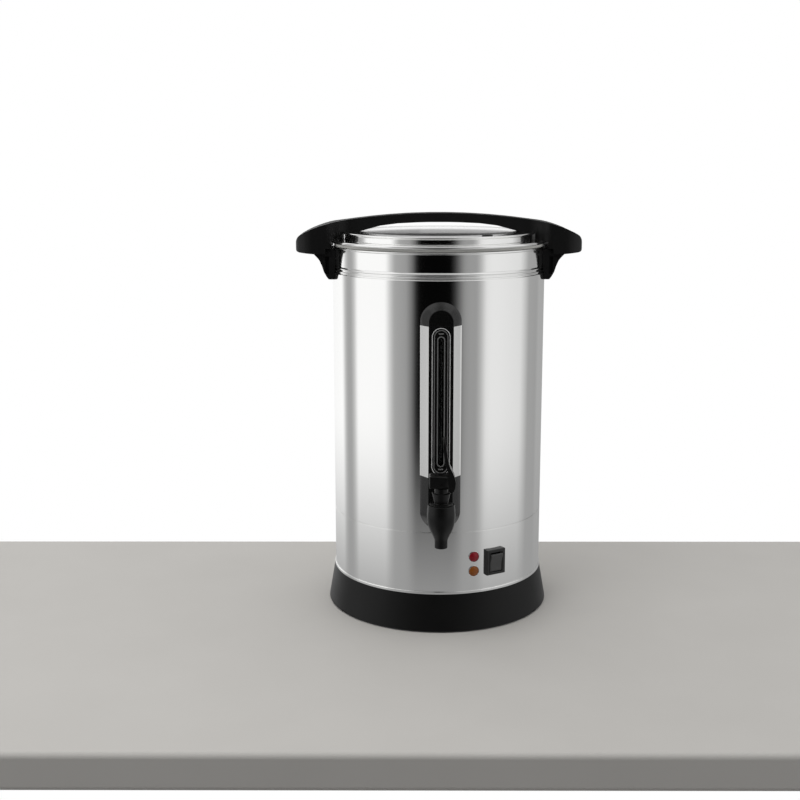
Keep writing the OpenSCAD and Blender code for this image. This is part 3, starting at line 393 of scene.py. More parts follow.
black_base = moulded("black_base", (0.006, 0.006, 0.006), 0.42, 0.12, 0.2)
base = turned("base_moulding", [
    (base_r - base_wall, 0.6), (base_r - 1.6, 0.6), *bend(base_r - 1.8, 2.4, 1.8, -80, 8, 6),
    *bend(base_top_r - 0.75, base_h - 0.8, 0.8, 10, 90, 5), (base_in_r, base_h),
    (base_in_r, base_h - base_wall), (127.4, base_h - base_wall)])
for side in (-1, 1):
    notch = block("notch", (-2, -6, -2), (2, 6, 3.1))
    notch.matrix_world = (Matrix.Rotation(math.radians(side * notch_az), 4, "Z")
                          @ Matrix.Translation((0, -base_r * 0.001, 0)))
    carve(base, notch)
soften(base, 0)
fit(base, "urn", "black_plastic", black_base, "base_ring")
rubber = moulded("rubber_foot", (0.02, 0.02, 0.02), 0.75, 0.3, 0.25)

# ---- steel shell ----
# The band, the jacket and the grooved collar are rolled and seamed sheets of polished stainless
# steel, with openings in the band for the mains inlet and the switch. A thin bead trims the
# joint between the band and the black base.
body_r = 130
sheet_t = 0.8
inner_r = body_r - sheet_t
band_top = 121.5
jacket_low = 122.2
jacket_top = 419.2
inlet_z = 80
switch_az = 30.3
switch_z = 81.4


def steel(name, colour, roughness, grain=0.0):
    """Stainless steel with faint polishing marks that run round the piece."""
    material = bpy.data.materials.new(name)
    tree, made, surface = nodes_of(material)
    where = made.new("ShaderNodeTexCoord")
    stretch = made.new("ShaderNodeMapping")
    stretch.inputs["Scale"].default_value = (6, 6, 900)
    marks = made.new("ShaderNodeTexNoise")
    marks.inputs["Scale"].default_value = 1
    marks.inputs["Detail"].default_value = 3
    spread = made.new("ShaderNodeMapRange")
    spread.inputs["To Min"].default_value = roughness * 0.8
    spread.inputs["To Max"].default_value = roughness * 1.2
    cloud = made.new("ShaderNodeTexNoise")
    cloud.inputs["Scale"].default_value = 7
    tint = made.new("ShaderNodeValToRGB")
    tint.color_ramp.elements[0].color = (*[c * 0.985 for c in colour], 1)
    tint.color_ramp.elements[1].color = (*colour, 1)
    tree.links.new(where.outputs["Object"], stretch.inputs["Vector"])
    tree.links.new(stretch.outputs[0], marks.inputs["Vector"])
    tree.links.new(where.outputs["Object"], cloud.inputs["Vector"])
    tree.links.new(marks.outputs["Fac"], spread.inputs["Value"])
    tree.links.new(spread.outputs[0], surface.inputs["Roughness"])
    tree.links.new(cloud.outputs["Fac"], tint.inputs["Fac"])
    tree.links.new(tint.outputs["Color"], surface.inputs["Base Color"])
    if grain:
        bump = made.new("ShaderNodeBump")
        bump.inputs["Strength"].default_value = grain
        bump.inputs["Distance"].default_value = 0.0001
        tree.links.new(marks.outputs["Fac"], bump.inputs["Height"])
        tree.links.new(bump.outputs["Normal"], surface.inputs["Normal"])
    surface.inputs["Metallic"].default_value = 1
    return material


polished_steel = steel("polished_steel", (0.96, 0.96, 0.95), 0.10)
brushed_steel = steel("brushed_steel", (0.62, 0.62, 0.61), 0.32, grain=0.3)

band = turned("lower_band_sheet", [
    (inner_r, base_h), (body_r, base_h), *bend(body_r - 0.4, band_top - 0.4, 0.4, 0, 90, 3),
    (inner_r, band_top)])
for az, z, half_w, half_h in ((180, inlet_z, 17, 12), (switch_az, switch_z, 11, 13.5)):
    opening = block("opening", (-half_w, -body_r - 8, z - half_h), (half_w, 8 - body_r, z + half_h))
    opening.matrix_world = Matrix.Rotation(math.radians(az), 4, "Z")
    carve(band, opening)
soften(band, 0)
fit(band, "urn", "polished_steel", polished_steel, "lower_band")

bead_in_r = body_r + 0.1
bead = turned("trim_bead", [
    (bead_in_r, base_h), (base_top_r, base_h), *bend(130.35, base_h + 2.4, 0.65, 0, 90, 6),
    (bead_in_r, base_h + 3.05)])
soften(bead, 0)
fit(bead, "urn", "polished_steel", polished_steel, "trim_ring")

tongue_r = 129.05
tongue_h = 10
rim_bend = 1.6
rim_in_r = 126.6
jacket = turned("jacket_sheet", [
    (tongue_r - sheet_t, jacket_low - tongue_h), (tongue_r, jacket_low - tongue_h), (tongue_r, jacket_low),
    *bend(body_r - 0.4, jacket_low + 0.4, 0.4, -90, 0, 3),
    *bend(body_r - rim_bend, jacket_top - rim_bend, rim_bend, 0, 90, 8), (rim_in_r, jacket_top),
    (rim_in_r, jacket_top - sheet_t), (body_r - rim_bend, jacket_top - sheet_t),
    (inner_r, jacket_top - rim_bend - sheet_t), (inner_r, jacket_low + sheet_t),
    (tongue_r - sheet_t, jacket_low + sheet_t)])
soften(jacket, 0)
fit(jacket, "urn", "polished_steel", polished_steel, "jacket")

collar_in_r = 126.4
collar_h = 8
rib_r = 127.8
rib_bend = 1.2
collar = turned("grooved_collar", [
    (collar_in_r, jacket_top), (128.4, jacket_top), *bend(rib_r, jacket_top + 1.9, rib_bend, -60, 80, 10),
    (127.7, jacket_top + 3.9), *bend(rib_r, jacket_top + 5.7, rib_bend, -80, 60, 10),
    (127.9, jacket_top + collar_h), (collar_in_r, jacket_top + collar_h)])
soften(collar, 0)
fit(collar, "urn", "polished_steel", polished_steel, "collar")

# ---- tank ----
# The tank is drawn from one sheet. Its neck stands out of the collar, with a bead rolled
# round its mouth, and its floor rests on the heater.
floor_z = 123.1
neck_low = 427.2
neck_top = 447.2
neck_r = 128.3
neck_in_r = neck_r - sheet_t
tank_r = 126
corner = 6
mouth_bead = 1.5
tank = turned("tank_shell", [
    (0, floor_z), (tank_r - corner, floor_z), *bend(tank_r - corner, floor_z + corner, corner, -80, 0, 8),
    (tank_r, neck_low), (neck_r, neck_low), (neck_r, neck_top),
    *bend(neck_in_r, neck_top + mouth_bead, mouth_bead, -60, 180, 16), (neck_in_r, neck_top),
    (neck_in_r, neck_low + sheet_t), (tank_r - sheet_t, neck_low + sheet_t),
    *bend(tank_r - corner, floor_z + corner, corner - sheet_t, 0, -80, 8),
    (tank_r - corner, floor_z + sheet_t), (0, floor_z + sheet_t)])
soften(tank, 0)
fit(tank, "urn", "polished_steel", polished_steel, "tank")

# ---- lid ----
# A pressed steel lid with a rolled edge, a raised wall whose lip overhangs it, and a top that
# swells a little in the middle. A silicone ring seals it, and a small black vent lets steam out.
edge_z = 453.8
flange_z = 455.8
lid_top = 466.7
dome_r = 92
crown = 2.4
crown_r = (dome_r ** 2 + crown ** 2) / (2 * crown)
crown_z = lid_top + crown - crown_r
sweep = math.degrees(math.asin(dome_r / crown_r))
skirt_r = 122.5
skirt_h = 15.6
wall_in_r = 114
edge_roll = 1.7
lid = turned("lid_pressing", [
    *bend(0, crown_z, crown_r, 90, 90 - sweep, 16), (100, lid_top), (116.6, lid_top),
    *bend(116.8, lid_top - 1.2, 1.2, 85, -60, 8), *bend(115.9, lid_top - 3.6, 0.9, 120, 180, 4),
    *bend(115.9, edge_z + 4.3, 0.9, 180, 250, 5), (124, edge_z + 2 * edge_roll),
    *bend(130.3, edge_z + edge_roll, edge_roll, 90, -90, 12), (128.6, edge_z), (128.6, flange_z),
    (skirt_r, flange_z), (skirt_r, flange_z - skirt_h),
    *bend(skirt_r - 0.4, flange_z - skirt_h, 0.4, 0, -180, 4), (121.5, edge_z + 2.4),
    (wall_in_r, edge_z + 2.4), (wall_in_r, lid_top - 2), (wall_in_r - 1, lid_top - 1),
    *bend(0, crown_z - 1, crown_r, 90 - sweep, 90, 16)])
vent_az = 30
vent_r = 107.5
hole_r = 4.2
hole = turned("hole", [(0, -1), (hole_r, -1), (hole_r, 12), (0, 12)], 32)
vent_place = (Matrix.Rotation(math.radians(vent_az), 4, "Z")
              @ Matrix.Translation((0, -vent_r * 0.001, (lid_top - 6) * 0.001)))
hole.matrix_world = vent_place
carve(lid, hole)
soften(lid, 0, smooth=35)
fit(lid, "lid", "polished_steel", polished_steel, "lid_pan")


def move_in(piece, place):
    """Moves a finished mesh to its place, with its object left at the origin."""
    piece.data.transform(place)
    piece.data.update()


vent = turned("vent_cap", [
    (2, 3), (4.1, 3), (4.1, 5.9), (5.6, 5.9), *bend(5.6, 6.65, 0.7, -40, 90, 5), (3.1, 7.5),
    *bend(2.6, 7, 0.6, 60, 180, 4)], 48)
move_in(vent, vent_place)
soften(vent, 0)
black_cap = moulded("black_cap", (0.012, 0.012, 0.012), 0.3, 0.05)
fit(vent, "lid", "black_plastic", black_cap, "lid_vent")

silicone = moulded("milky_silicone", (0.72, 0.72, 0.69), 0.5, 0.1, 0.4)
seal = turned("lid_seal_ring", [
    (123.3, 451.1), (124.4, 451.1), *bend(125.2, 450.9, 0.4, -170, -90, 3),
    *bend(127.4, 451.1, 0.6, -90, 0, 4), *bend(127.4, 454.9, 0.6, 0, 90, 4), (123.3, 455.5)])
soften(seal, 0)
fit(seal, "seal", "silicone", silicone, "lid_seal")

# ---- handle ----
# One heat-proof black moulding: a shallow arch over the lid whose ends broaden into two ears.
# Four screws hold its feet to the lid, and all its edges are rounded.
tip_x = 174.2
tip_r = 14
arch_top = 489.2
arch_t = 10.8
ear_low = 441.0
split_r = 141
foot_x = 102
arch_half = 15
ear_half = 34
ear_corner = 22
crown_arc = 782
under_arc = 771
slope_arc = 144
slope_end = 26
shoulder_x = tip_x - 53
shoulder = math.degrees(math.asin(shoulder_x / crown_arc))
shoulder_z = arch_top - crown_arc * (1 - math.cos(math.radians(shoulder)))
slope_x = shoulder_x - slope_arc * math.sin(math.radians(shoulder))
slope_z = shoulder_z - slope_arc * math.cos(math.radians(shoulder))
tip_z = slope_z + (slope_arc - tip_r) * math.cos(math.radians(slope_end)) - 2.4


def falling(cx, cz, r, a0, a1, n):
    """Points along an arc that falls away from its top, by angles in degrees from upright."""
    leans = [math.radians(a0 + (a1 - a0) * i / n) for i in range(n + 1)]
    return [(cx + r * math.sin(lean), cz + r * math.cos(lean)) for lean in leans]


half = falling(0, arch_top - crown_arc, crown_arc, 0, shoulder, 12)
half += falling(slope_x, slope_z, slope_arc, shoulder, slope_end, 6)[1:]
half += bend(tip_x - tip_r, tip_z, tip_r, 60, 0, 8)
half += [(tip_x, ear_low + 5), (tip_x - 1.6, ear_low + 2.6), (tip_x - 5, ear_low + 1.6),
         (split_r + 10, ear_low), (foot_x, ear_low)]
half += [(foot_x, lid_top - 1), (foot_x - 13, lid_top + 2.4), (foot_x - 31, lid_top + 7.4)]
half += [(x, arch_top - arch_t - x * x / (2 * under_arc)) for x in (50, 38, 25, 12)]
arch_line = [(x, 60, z) for x, z in half] + [(-x, 60, z) for x, z in reversed(half) if x > 0.01]
handle = slab("arched_handle", arch_line, (0, -120, 0))
plan = [(107, -arch_half), (113.5, -17), (120, -20), (124.5, -24.6), (128, -29), (131.6, -32.4),
        (136, -ear_half)]
plan += [(tip_x - ear_corner + x, -ear_half + ear_corner + y) for x, y in bend(0, 0, ear_corner, -90, 0, 10)]
right = plan + [(x, -y) for x, y in reversed(plan)]
plan_line = [(x, y, ear_low - 5) for x, y in right] + [(-x, -y, ear_low - 5) for x, y in right]
carve(handle, slab("plan", plan_line, (0, 0, 60)), "INTERSECT")
bpy.ops.object.select_all(action="DESELECT")
handle.select_set(True)
bpy.context.view_layer.objects.active = handle
bpy.ops.object.mode_set(mode="EDIT")
bpy.ops.mesh.select_all(action="SELECT")
bpy.ops.mesh.remove_doubles(threshold=1e-5)
bpy.ops.mesh.dissolve_limited(angle_limit=math.radians(1))
bpy.ops.object.mode_set(mode="OBJECT")
soften(handle, 0.0024, 4, 32)
over = turned("clearance", [
    (0, 380), (split_r + 0.3, 380), (split_r + 0.3, neck_top), (135, neck_top), (135, 455.2),
    (132.15, 455.2), (132.15, 457.2), (118.15, 457.2), (118.15, lid_top), (0, lid_top)])
carve(handle, over)
soften(handle, 0, smooth=35)
black_handle = moulded("black_handle", (0.006, 0.006, 0.006), 0.48, 0.1, 0.22)
fit(handle, "lid", "black_phenolic", black_handle, "lid_handle")

# ---- brackets ----
# Two black brackets stand on the neck below the ears. Each is a moulding with a pocket in
# both sides, and two screws from inside the tank hold it.
bracket_low = 410.2
bracket_top = 446.9
bracket_half = 30
step_z = 440.7
pocket_deep = 4
for side, name in ((1, "right"), (-1, "left")):
    shape = [(124, bracket_low), (133.6, bracket_low), (136, 413.2), (139.4, 419.2), (141.6, 426.2),
             (144.7, 433.2), (147.2, 436.3), (151.5, step_z), (151.5, bracket_top), (124, bracket_top)]
    bracket = slab("bracket_" + name + "_moulding", [(x, bracket_half, z) for x, z in shape],
                   (0, -2 * bracket_half, 0))
    soften(bracket, 0.0011, 3, 25)
    carve(bracket, turned("inside", [
        (0, 300), (130.15, 300), (130.15, 419.35), (129.15, 419.35), (129.15, 427.35),
        (128.45, 427.35), (128.45, 445.7), (129.6, 445.7), (129.6, 470), (0, 470)]))
    carve(bracket, turned("step", [(split_r, step_z), (181, step_z), (181, 470), (split_r, 470)]))
    for y in (-bracket_half, bracket_half):
        pocket = block("pocket", (133, y - pocket_deep, 417), (137.6, y + pocket_deep, 438))
        carve(bracket, pocket)
    if side < 0:
        move_in(bracket, Matrix.Rotation(math.pi, 4, "Z"))
    soften(bracket, 0, smooth=35)
    fit(bracket, "urn", "black_phenolic", black_handle, "bracket_" + name)

# ---- gauge ----
# A bevelled housing with round ends stands on the jacket: a cap at each end, a black front
# panel with a dark lining, polished strips on its bevels, and the glass tube in the slot. Three
# glossy black ridges run round the slot, with a level mark at each end. The outer ridge is
# painted light grey, and the other two and the marks mid grey, as painted highlights.
gauge_low = 147.8
gauge_high = 372.4
front_y = -141.5
ledge_y = -127.4
back_y = -118.0
half_back = 24.0
half_front = 14.15
strip_low = 191.5
strip_high = 368.0
round_clear_r = 130.15


def jacket_round():
    """A tool a little wider than the jacket, which cuts the back of a piece to sit on it."""
    return turned("jacket_round", [(0, 60), (round_clear_r, 60), (round_clear_r, 440), (0, 440)])


def long_round(name, radius, low, high, y0, y1, steps=64):
    """A block with round ends, flat to the front, between the heights of its two end centres."""
    bpy.ops.object.select_all(action="DESELECT")
    bpy.ops.mesh.primitive_cylinder_add(vertices=steps, radius=radius * 0.001, depth=(y1 - y0) * 0.001)
    piece = bpy.context.object
    piece.name = name
    piece.rotation_euler = (math.pi / 2, 0, 0)
    piece.location = (0, (y0 + y1) * 0.0005, low * 0.001)
    bpy.ops.object.transform_apply(location=True, rotation=True, scale=True)
    bpy.ops.object.mode_set(mode="EDIT")
    shape = bmesh.from_edit_mesh(piece.data)
    bpy.ops.mesh.select_all(action="DESELECT")
    for v in shape.verts:
        v.select = v.co.z > (low + 0.001) * 0.001
    shape.select_flush(True)
    bmesh.update_edit_mesh(piece.data)
    bpy.ops.transform.translate(value=(0, 0, (high - low) * 0.001))
    bpy.ops.object.mode_set(mode="OBJECT")
    return piece


def choose(piece, wanted):
    """Selects the corners of a piece in edit mode that pass a test on their place in millimetres."""
    bpy.ops.object.select_all(action="DESELECT")
    piece.select_set(True)
    bpy.context.view_layer.objects.active = piece
    bpy.ops.object.mode_set(mode="EDIT")
    bpy.ops.mesh.select_mode(type="VERT")
    bpy.ops.mesh.select_all(action="DESELECT")
    shape = bmesh.from_edit_mesh(piece.data)
    for v in shape.verts:
        v.select = wanted(v.co * 1000)
    shape.select_flush(True)
    bmesh.update_edit_mesh(piece.data)


def housing(name, low, high):
    """The part of the gauge's housing between two heights, cut to sit on the jacket."""
    piece = long_round(name, half_back, gauge_low, gauge_high, front_y, ledge_y, 96)
    share = half_front / half_back
    middle = gauge_low + 113
    for centre, upper in ((gauge_low, False), (gauge_high, True)):
        choose(piece, lambda p: p.y < front_y + 0.1 and (p.z > middle) == upper)
        bpy.ops.transform.resize(
            value=(share, 1, share), center_override=(0, front_y * 0.001, centre * 0.001))
        bpy.ops.object.mode_set(mode="OBJECT")
    carve(piece, long_round("body", half_back, gauge_low, gauge_high, ledge_y, back_y, 96), "UNION")
    carve(piece, block("room", (-40, -150, low), (40, -100, high)), "INTERSECT")
    soften(piece, 0.0005, 2, 30)
    carve(piece, jacket_round())
    soften(piece, 0, smooth=30)
    return piece


black_gloss = moulded("black_gloss", (0.006, 0.006, 0.006), 0.16, 0.02, 0.5)
top_cap = housing("gauge_upper_cap", strip_high, 420)
fit(top_cap, "urn", "gloss_black", black_gloss, "gauge_top_cap")
low_cap = housing("gauge_lower_cap", 110, strip_low)
fit(low_cap, "urn", "gloss_black", black_gloss, "gauge_bottom_cap")

panel_t = 2
lining_front = -131.1
lining_back = -130.7
panel = block("gauge_front_panel", (-half_front, front_y, strip_low),
              (half_front, front_y + panel_t, strip_high))
slot_half = 3
slot_low = strip_low + 14.9
slot_high = strip_high - 12.9
carve(panel, long_round("slot", slot_half, slot_low + slot_half, slot_high - slot_half, -150, -130, 32))
for side in (-1, 1):
    x = side * (half_front - 2.6)
    carve(panel, block("rib", (x - 1, front_y + 1, strip_low), (x + 1, lining_back, strip_high)), "UNION")
carve(panel, block("lining", (-11.5, lining_front, strip_low), (11.5, lining_back, strip_high)), "UNION")
soften(panel, 0.0003, 2, 40)
fit(panel, "urn", "gloss_black", black_gloss, "gauge_panel")

# Painted highlights: the outer ridge's light grey and the inner ridges' mid grey stand in for the shine on
# glossy black ridges.
ridge_painted_highlight = moulded("ridge_painted_highlight", (0.62, 0.62, 0.62), 0.3, 0.0, 0.5)
ridge_painted_sheen = moulded("ridge_painted_sheen", (0.16, 0.16, 0.16), 0.35, 0.0, 0.5)
window_low = strip_low + 3
window_high = strip_high - 1.5
ridge_sunk = front_y + 0.3
for number, (width, low, high, rib, ridge_highlight_paint) in enumerate((
        (21.3, window_low, window_high, 0.9, ridge_painted_highlight),
        (16.4, window_low + 2.4, window_high - 2.4, 1.0, ridge_painted_sheen),
        (9.2, window_low + 10, window_high - 9.5, 1.3, ridge_painted_sheen))):
    ends = (low + width / 2, high - width / 2)
    ridge = long_round("gauge_ridge_" + str(number + 1), width / 2, *ends, front_y - 0.4, ridge_sunk)
    carve(ridge, long_round("inner", width / 2 - rib, *ends, front_y - 3, front_y + 3))
    soften(ridge, 0.0003, 3, 40)
    fit(ridge, "urn", "gloss_black", ridge_highlight_paint)
# The level marks take the same mid grey painted highlight as the inner ridges.
for name, z in (("low", window_low + 6.6), ("high", window_high - 7.5)):
    mark = block("gauge_mark_" + name, (-3, front_y - 0.6, z), (3, ridge_sunk, z + 1.4))
    soften(mark, 0.0003, 3, 40)
    fit(mark, "urn", "gloss_black", ridge_painted_sheen)

for side, name in ((-1, "left"), (1, "right")):
    front, outer, inner = side * 14.25, side * 23.7, side * 22.8
    strip = slab("gauge_strip_" + name + "_sheet", [
        (front, front_y, strip_low), (outer, -128.6, strip_low), (outer, -122, strip_low),
        (inner, -122, strip_low), (inner, -126.8, strip_low), (front, front_y + 2.1, strip_low)],
        (0, 0, strip_high - strip_low))
    soften(strip, 0.0003, 2, 20)
    carve(strip, jacket_round())
    soften(strip, 0, smooth=30)
    fit(strip, "urn", "polished_steel", polished_steel, "gauge_strip_" + name)

sight_glass = bpy.data.materials.new("sight_glass")
tree, made, surface = nodes_of(sight_glass)
surface.inputs["Base Color"].default_value = (0.93, 0.97, 0.96, 1)
surface.inputs["Transmission Weight"].default_value = 1
surface.inputs["IOR"].default_value = 1.47
where = made.new("ShaderNodeTexCoord")
film = made.new("ShaderNodeTexNoise")
film.inputs["Scale"].default_value = 60
spread = made.new("ShaderNodeMapRange")
spread.inputs["To Min"].default_value = 0.01
spread.inputs["To Max"].default_value = 0.03
tree.links.new(where.outputs["Object"], film.inputs["Vector"])
tree.links.new(film.outputs["Fac"], spread.inputs["Value"])
tree.links.new(spread.outputs[0], surface.inputs["Roughness"])
tube_r = 4
bore = 2.8
tube_low = 196.5
tube_high = 364
tube_y = -0.1353
tube = turned("sight_tube_glass", [
    (bore, tube_low), (tube_r, tube_low), (tube_r, tube_high), (bore, tube_high)], 48)
move_in(tube, Matrix.Translation((0, tube_y, 0)))
soften(tube, 0.0003, 2, 40)
fit(tube, "urn", "glass", sight_glass, "sight_tube")

# ---- tap ----
# A black moulded tap: an urn-shaped body over a straight spout, a flared bonnet, and a lever
# with a square hub. The lever stands at the tap's right, so its blade is seen edge-on.
tap_out = 0.175
tap = Matrix.Translation((0, -tap_out, 0))
spout_z = 118.5
tap_top = 169.5
shank_z = 154.5
bore_r = 4
well_r = 9
well_z = 143
to_the_back = Matrix.Rotation(-math.pi / 2, 4, "X")
body = turned("tap_body_moulding", [
    (bore_r, spout_z + 0.4), *bend(bore_r + 0.5, spout_z + 0.5, 0.5, 180, 270, 3),
    *bend(6.8, spout_z + 0.6, 0.6, -90, 0, 4), (7.4, spout_z + 8.2), (7.7, spout_z + 10.2),
    (8.7, spout_z + 12.5), (10.3, spout_z + 16), (12.2, spout_z + 19.5), (13.9, spout_z + 23.8),
    (14.9, spout_z + 27.2), (15.6, spout_z + 31), (16.0, spout_z + 34.5), (16.2, spout_z + 38),
    (16.1, spout_z + 42), (15.8, spout_z + 46), (15.5, tap_top - 1.6),
    *bend(14.6, tap_top - 0.9, 0.9, 10, 90, 4), (well_r, tap_top), (well_r, well_z), (bore_r, well_z)], 96)
shank = turned("shank", [(bore_r, 0), (8, 0), (8, 44), (bore_r, 44)], 64)
move_in(shank, Matrix.Translation((0, 0.009, shank_z * 0.001)) @ to_the_back)
carve(body, shank, "UNION")
flange_y = tap_out + (front_y - 5.7) * 0.001
flange = turned("flange", [(0, 0), (11.4, 0), (11.4, 3.6), (0, 3.6)], 64)
move_in(flange, Matrix.Translation((0, flange_y, shank_z * 0.001)) @ to_the_back)
carve(body, flange, "UNION")
move_in(body, tap)
soften(body, 0, smooth=35)
black_tap = moulded("black_tap", (0.005, 0.005, 0.005), 0.3, 0.03, 0.24)
fit(body, "urn", "gloss_black", black_tap, "tap_body")

stem_way = 2.55
plug_r = 8.85
bonnet = turned("tap_bonnet_moulding", [
    (stem_way, 161.5), (plug_r, 161.5), (plug_r, tap_top), (12.7, tap_top),
    *bend(12.7, tap_top + 0.5, 0.5, -90, 90, 5), (8.3, 171.2), (8.0, 172.2), (10.3, 182.3),
    *bend(10.2, 182.8, 0.5, 0, 90, 3), (7.9, 183.7), (7.6, 184.2), *bend(7.1, 188.7, 0.5, 0, 90, 3),
    (stem_way, 189.2)], 96)
move_in(bonnet, tap)
soften(bonnet, 0, smooth=35)
fit(bonnet, "urn", "gloss_black", black_tap, "tap_bonnet")

hub_low = 189.5
hub = block("tap_lever_moulding", (-14, -9, hub_low), (12.2, 9, hub_low + 15))
soften(hub, 0.0022, 4, 40)
blade_side = [(8.2, 1.0), (12.4, -3), (13.7, -2.6), (15.6, 2.6), (16, 8.5), (14.9, 13.6), (12.4, 20),
              (9.8, 24.8), (8.4, 29), (6.7, 38), (5, 49), (3.8, 57.6), (2.8, 58.6), (1.6, 57), (1.8, 46),
              (3, 36), (4.8, 27), (6.6, 21.5), (8.6, 17), (9.8, 15), (6.2, 15)]
blade_half = 11
blade_round_z = 48
blade = slab("blade", [(x, blade_half, hub_low + z) for x, z in blade_side], (0, -2 * blade_half, 0))
tongue = [(-blade_half, -5), (blade_half, -5), (blade_half, blade_round_z)]
tongue += [(x, blade_round_z + y) for x, y in bend(0, 0, blade_half, 8, 172, 16)]
tongue += [(-blade_half, blade_round_z)]
carve(blade, slab("tongue", [(-30, y, hub_low + z) for y, z in tongue], (60, 0, 0)), "INTERSECT")
soften(blade, 0.0011, 3, 30)
carve(hub, blade, "UNION")
carve(hub, block("stem_room", (-9, -2.8, hub_low - 5), (9, 2.8, hub_low + 10.4)))
pin_r = 1.55
pin_z = 0.195
pin_way = turned("pin_way", [(0, -20), (pin_r, -20), (pin_r, 20), (0, 20)], 32)
move_in(pin_way, Matrix.Translation((0, 0, pin_z)) @ Matrix.Rotation(math.pi / 2, 4, "X"))
carve(hub, pin_way)
move_in(hub, tap)
soften(hub, 0, smooth=35)
fit(hub, "lever", "gloss_black", black_tap, "tap_lever")

# ---- lamps ----
# Two pilot lamps with domed coloured lenses in thin bright bezels, one red and one amber,
# pushed through the band beside the switch.
lamp_az = 18.2
red_z = 90.3
amber_z = 72.5
lens_r = 6.05
lens_base = 116


def lens(name, colour):
    """Tinted lens plastic: glossy, with a faint moulded pattern inside."""
    material = bpy.data.materials.new(name)
    tree, made, surface = nodes_of(material)
    where = made.new("ShaderNodeTexCoord")
    facets = made.new("ShaderNodeTexVoronoi")
    facets.inputs["Scale"].default_value = 900
    bump = made.new("ShaderNodeBump")
    bump.inputs["Strength"].default_value = 0.25
    bump.inputs["Distance"].default_value = 0.0003
    tint = made.new("ShaderNodeValToRGB")
    tint.color_ramp.elements[0].color = (*[c * 0.55 for c in colour], 1)
    tint.color_ramp.elements[1].color = (*colour, 1)
    tree.links.new(where.outputs["Object"], facets.inputs["Vector"])
    tree.links.new(facets.outputs["Distance"], tint.inputs["Fac"])
    tree.links.new(facets.outputs["Distance"], bump.inputs["Height"])
    tree.links.new(tint.outputs["Color"], surface.inputs["Base Color"])
    tree.links.new(bump.outputs["Normal"], surface.inputs["Normal"])
    surface.inputs["Roughness"].default_value = 0.35
    surface.inputs["Specular IOR Level"].default_value = 0.3
    surface.inputs["Coat Weight"].default_value = 0.12
    surface.inputs["Coat Roughness"].default_value = 0.12
    return material


def facing_out(az, z, r):
    """The place of a piece made upright at the origin, once it faces out from the band."""
    return (Matrix.Rotation(math.radians(az), 4, "Z") @ Matrix.Translation((0, -r * 0.001, z * 0.001))
            @ Matrix.Rotation(math.pi / 2, 4, "X"))


for name, node, z, colour in (
        ("red", "lamp_red", red_z, (0.36, 0.008, 0.022)),
        ("amber", "lamp_amber", amber_z, (0.38, 0.11, 0.012))):
    lamp = turned("lamp_" + name + "_lens", [
        (0, 0), (lens_r, 0), (lens_r, 14), (6.2, 14), *bend(0, 7.5, 9.1, 47.1, 89.5, 10), (0, 16.6)], 64)
    move_in(lamp, facing_out(lamp_az, z, lens_base))
    soften(lamp, 0, smooth=50)
    fit(lamp, "urn", name + "_lens", lens(name + "_lens_plastic", colour), node)
rings = []
for z in (red_z, amber_z):
    ring = turned("lamp_bezel_ring", [(6.3, 0.1), (6.7, 0.1), *bend(6.5, 0.5, 0.2, 0, 180, 5)], 64)
    move_in(ring, facing_out(lamp_az, z, body_r))
    soften(ring, 0)
    rings.append(ring)
bpy.ops.object.select_all(action="DESELECT")
for ring in rings:
    ring.select_set(True)
bpy.context.view_layer.objects.active = rings[0]
bpy.ops.object.join()
fit(rings[0], "urn", "polished_steel", polished_steel, "lamp_bezels")

# ---- switch ----
# A rocker switch in a black frame that stands out of the band. The rocker is a lighter grey,
# dished in the middle, and tips about its own axle.
switch_face = 0.1345
room_x = 8.6
room_z = 12.1
switch_place = (Matrix.Rotation(math.radians(switch_az), 4, "Z")
                @ Matrix.Translation((0, -switch_face, switch_z * 0.001)))
switch = block("switch_frame_moulding", (-13, 0, -15.5), (13, 9, 15.5))
soften(switch, 0.0008, 3, 40)
carve(switch, block("rocker_room", (-room_x, -1, -room_z), (room_x, 12, room_z)))
drum_r = body_r + 0.1
drum = turned("band_round", [(0, -40), (drum_r, -40), (drum_r, 40), (0, 40)])
move_in(drum, Matrix.Translation((0, switch_face, 0)))
carve(switch, drum)
lip = block("rocker_lip", (-9.7, -0.5, -13.2), (9.7, 0.3, 13.2))
carve(lip, block("lip_room", (-room_x, -2, -room_z), (room_x, 2, room_z)))
soften(lip, 0.00025, 2, 40)
carve(switch, lip, "UNION")
move_in(switch, switch_place)
soften(switch, 0, smooth=35)
black_switch = moulded("black_switch", (0.018, 0.018, 0.018), 0.38, 0.08, 0.4)
fit(switch, "urn", "black_plastic", black_switch, "switch_frame")

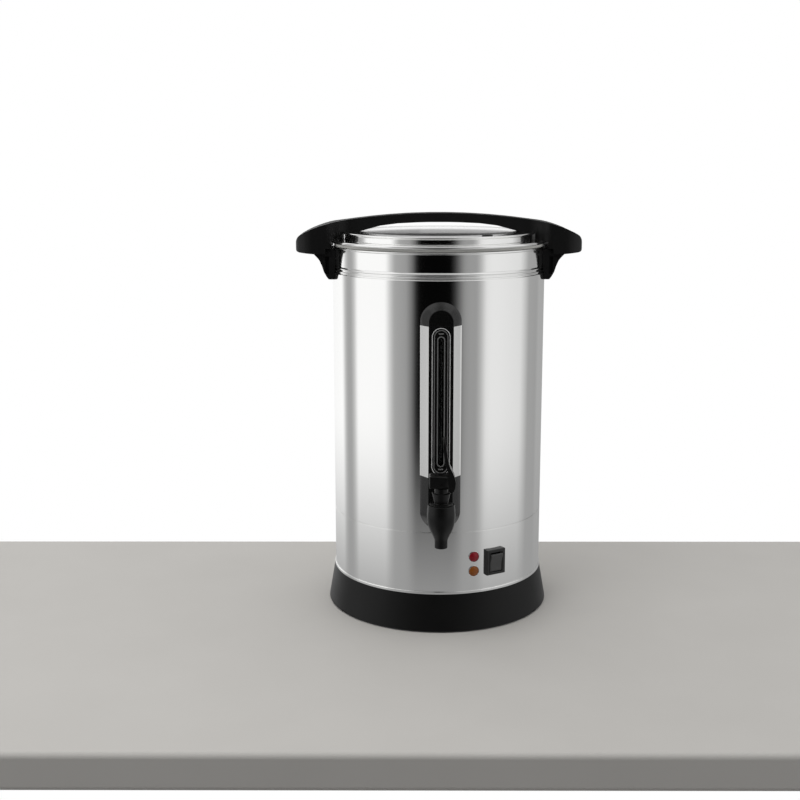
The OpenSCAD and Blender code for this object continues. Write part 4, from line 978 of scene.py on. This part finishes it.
rocker_half = 8.2
rocker_lean = math.radians(8)
axle_y = 0.006
axle_r = 1.5
axle_half = 10.2
rocker_side = [(1, -11.2), (-1.2, -10.5), (-0.5, -5), (0.3, 0), (-0.5, 5), (-1.2, 10.5), (1, 11.2),
               (8, 3.6), (8, -3.6)]
rocker = slab("switch_rocker_moulding", [(-rocker_half, y, z) for y, z in rocker_side],
              (2 * rocker_half, 0, 0))
soften(rocker, 0.0005, 3, 40)
axle = turned("axle", [(0, -axle_half), (axle_r, -axle_half), (axle_r, axle_half), (0, axle_half)], 32)
move_in(rocker, Matrix.Translation((0, axle_y, 0)) @ Matrix.Rotation(rocker_lean, 4, "X")
        @ Matrix.Translation((0, -axle_y, 0)))
move_in(axle, Matrix.Translation((0, axle_y, 0)) @ Matrix.Rotation(math.pi / 2, 4, "Y"))
carve(rocker, axle, "UNION")
move_in(rocker, switch_place)
soften(rocker, 0, smooth=35)
grey_rocker = moulded("grey_rocker", (0.055, 0.055, 0.055), 0.4, 0.08, 0.5)
fit(rocker, "rocker", "grey_plastic", grey_rocker, "switch_rocker")

# ---- inner parts ----
# Everything that the photograph doesn't show keeps its CAD solid and gets the finish of the
# real part: bare steel, cast aluminium, brass, rubber, silicone or sleeved wire.
cast_aluminium = steel("cast_aluminium", (0.55, 0.55, 0.56), 0.5, grain=0.2)
bare_brass = steel("bare_brass", (0.72, 0.52, 0.22), 0.35, grain=0.15)
dark_heater = steel("dark_heater", (0.16, 0.15, 0.14), 0.45, grain=0.2)
wire_sleeve = moulded("wire_sleeve", (0.30, 0.02, 0.015), 0.5, 0.2)
inlet_plastic = moulded("inlet_plastic", (0.014, 0.014, 0.014), 0.4, 0.1)
for names, material in (
        (("base_plate", "base_screws", "tank_studs", "stud_nuts", "bracket_screws", "fitting_nuts",
          "tap_nut", "tap_spring", "tap_stem", "inlet_screws", "handle_screws", "brew_foot", "brew_tube",
          "brew_valve", "coffee_basket", "basket_lid"), brushed_steel),
        (("rubber_feet",), rubber),
        (("heater_plate",), cast_aluminium),
        (("heater_tube",), dark_heater),
        (("boil_thermostat", "warm_thermostat", "thermal_cutout", "inlet_pins"), bare_brass),
        (("tap_washers", "tap_seat_cup"), silicone),
        (("lever_pin",), black_tap),
        (("gauge_fittings", "power_inlet"), inlet_plastic),
        (("wiring",), wire_sleeve)):
    for name in names:
        nodes[name].data.materials.clear()
        nodes[name].data.materials.append(material)
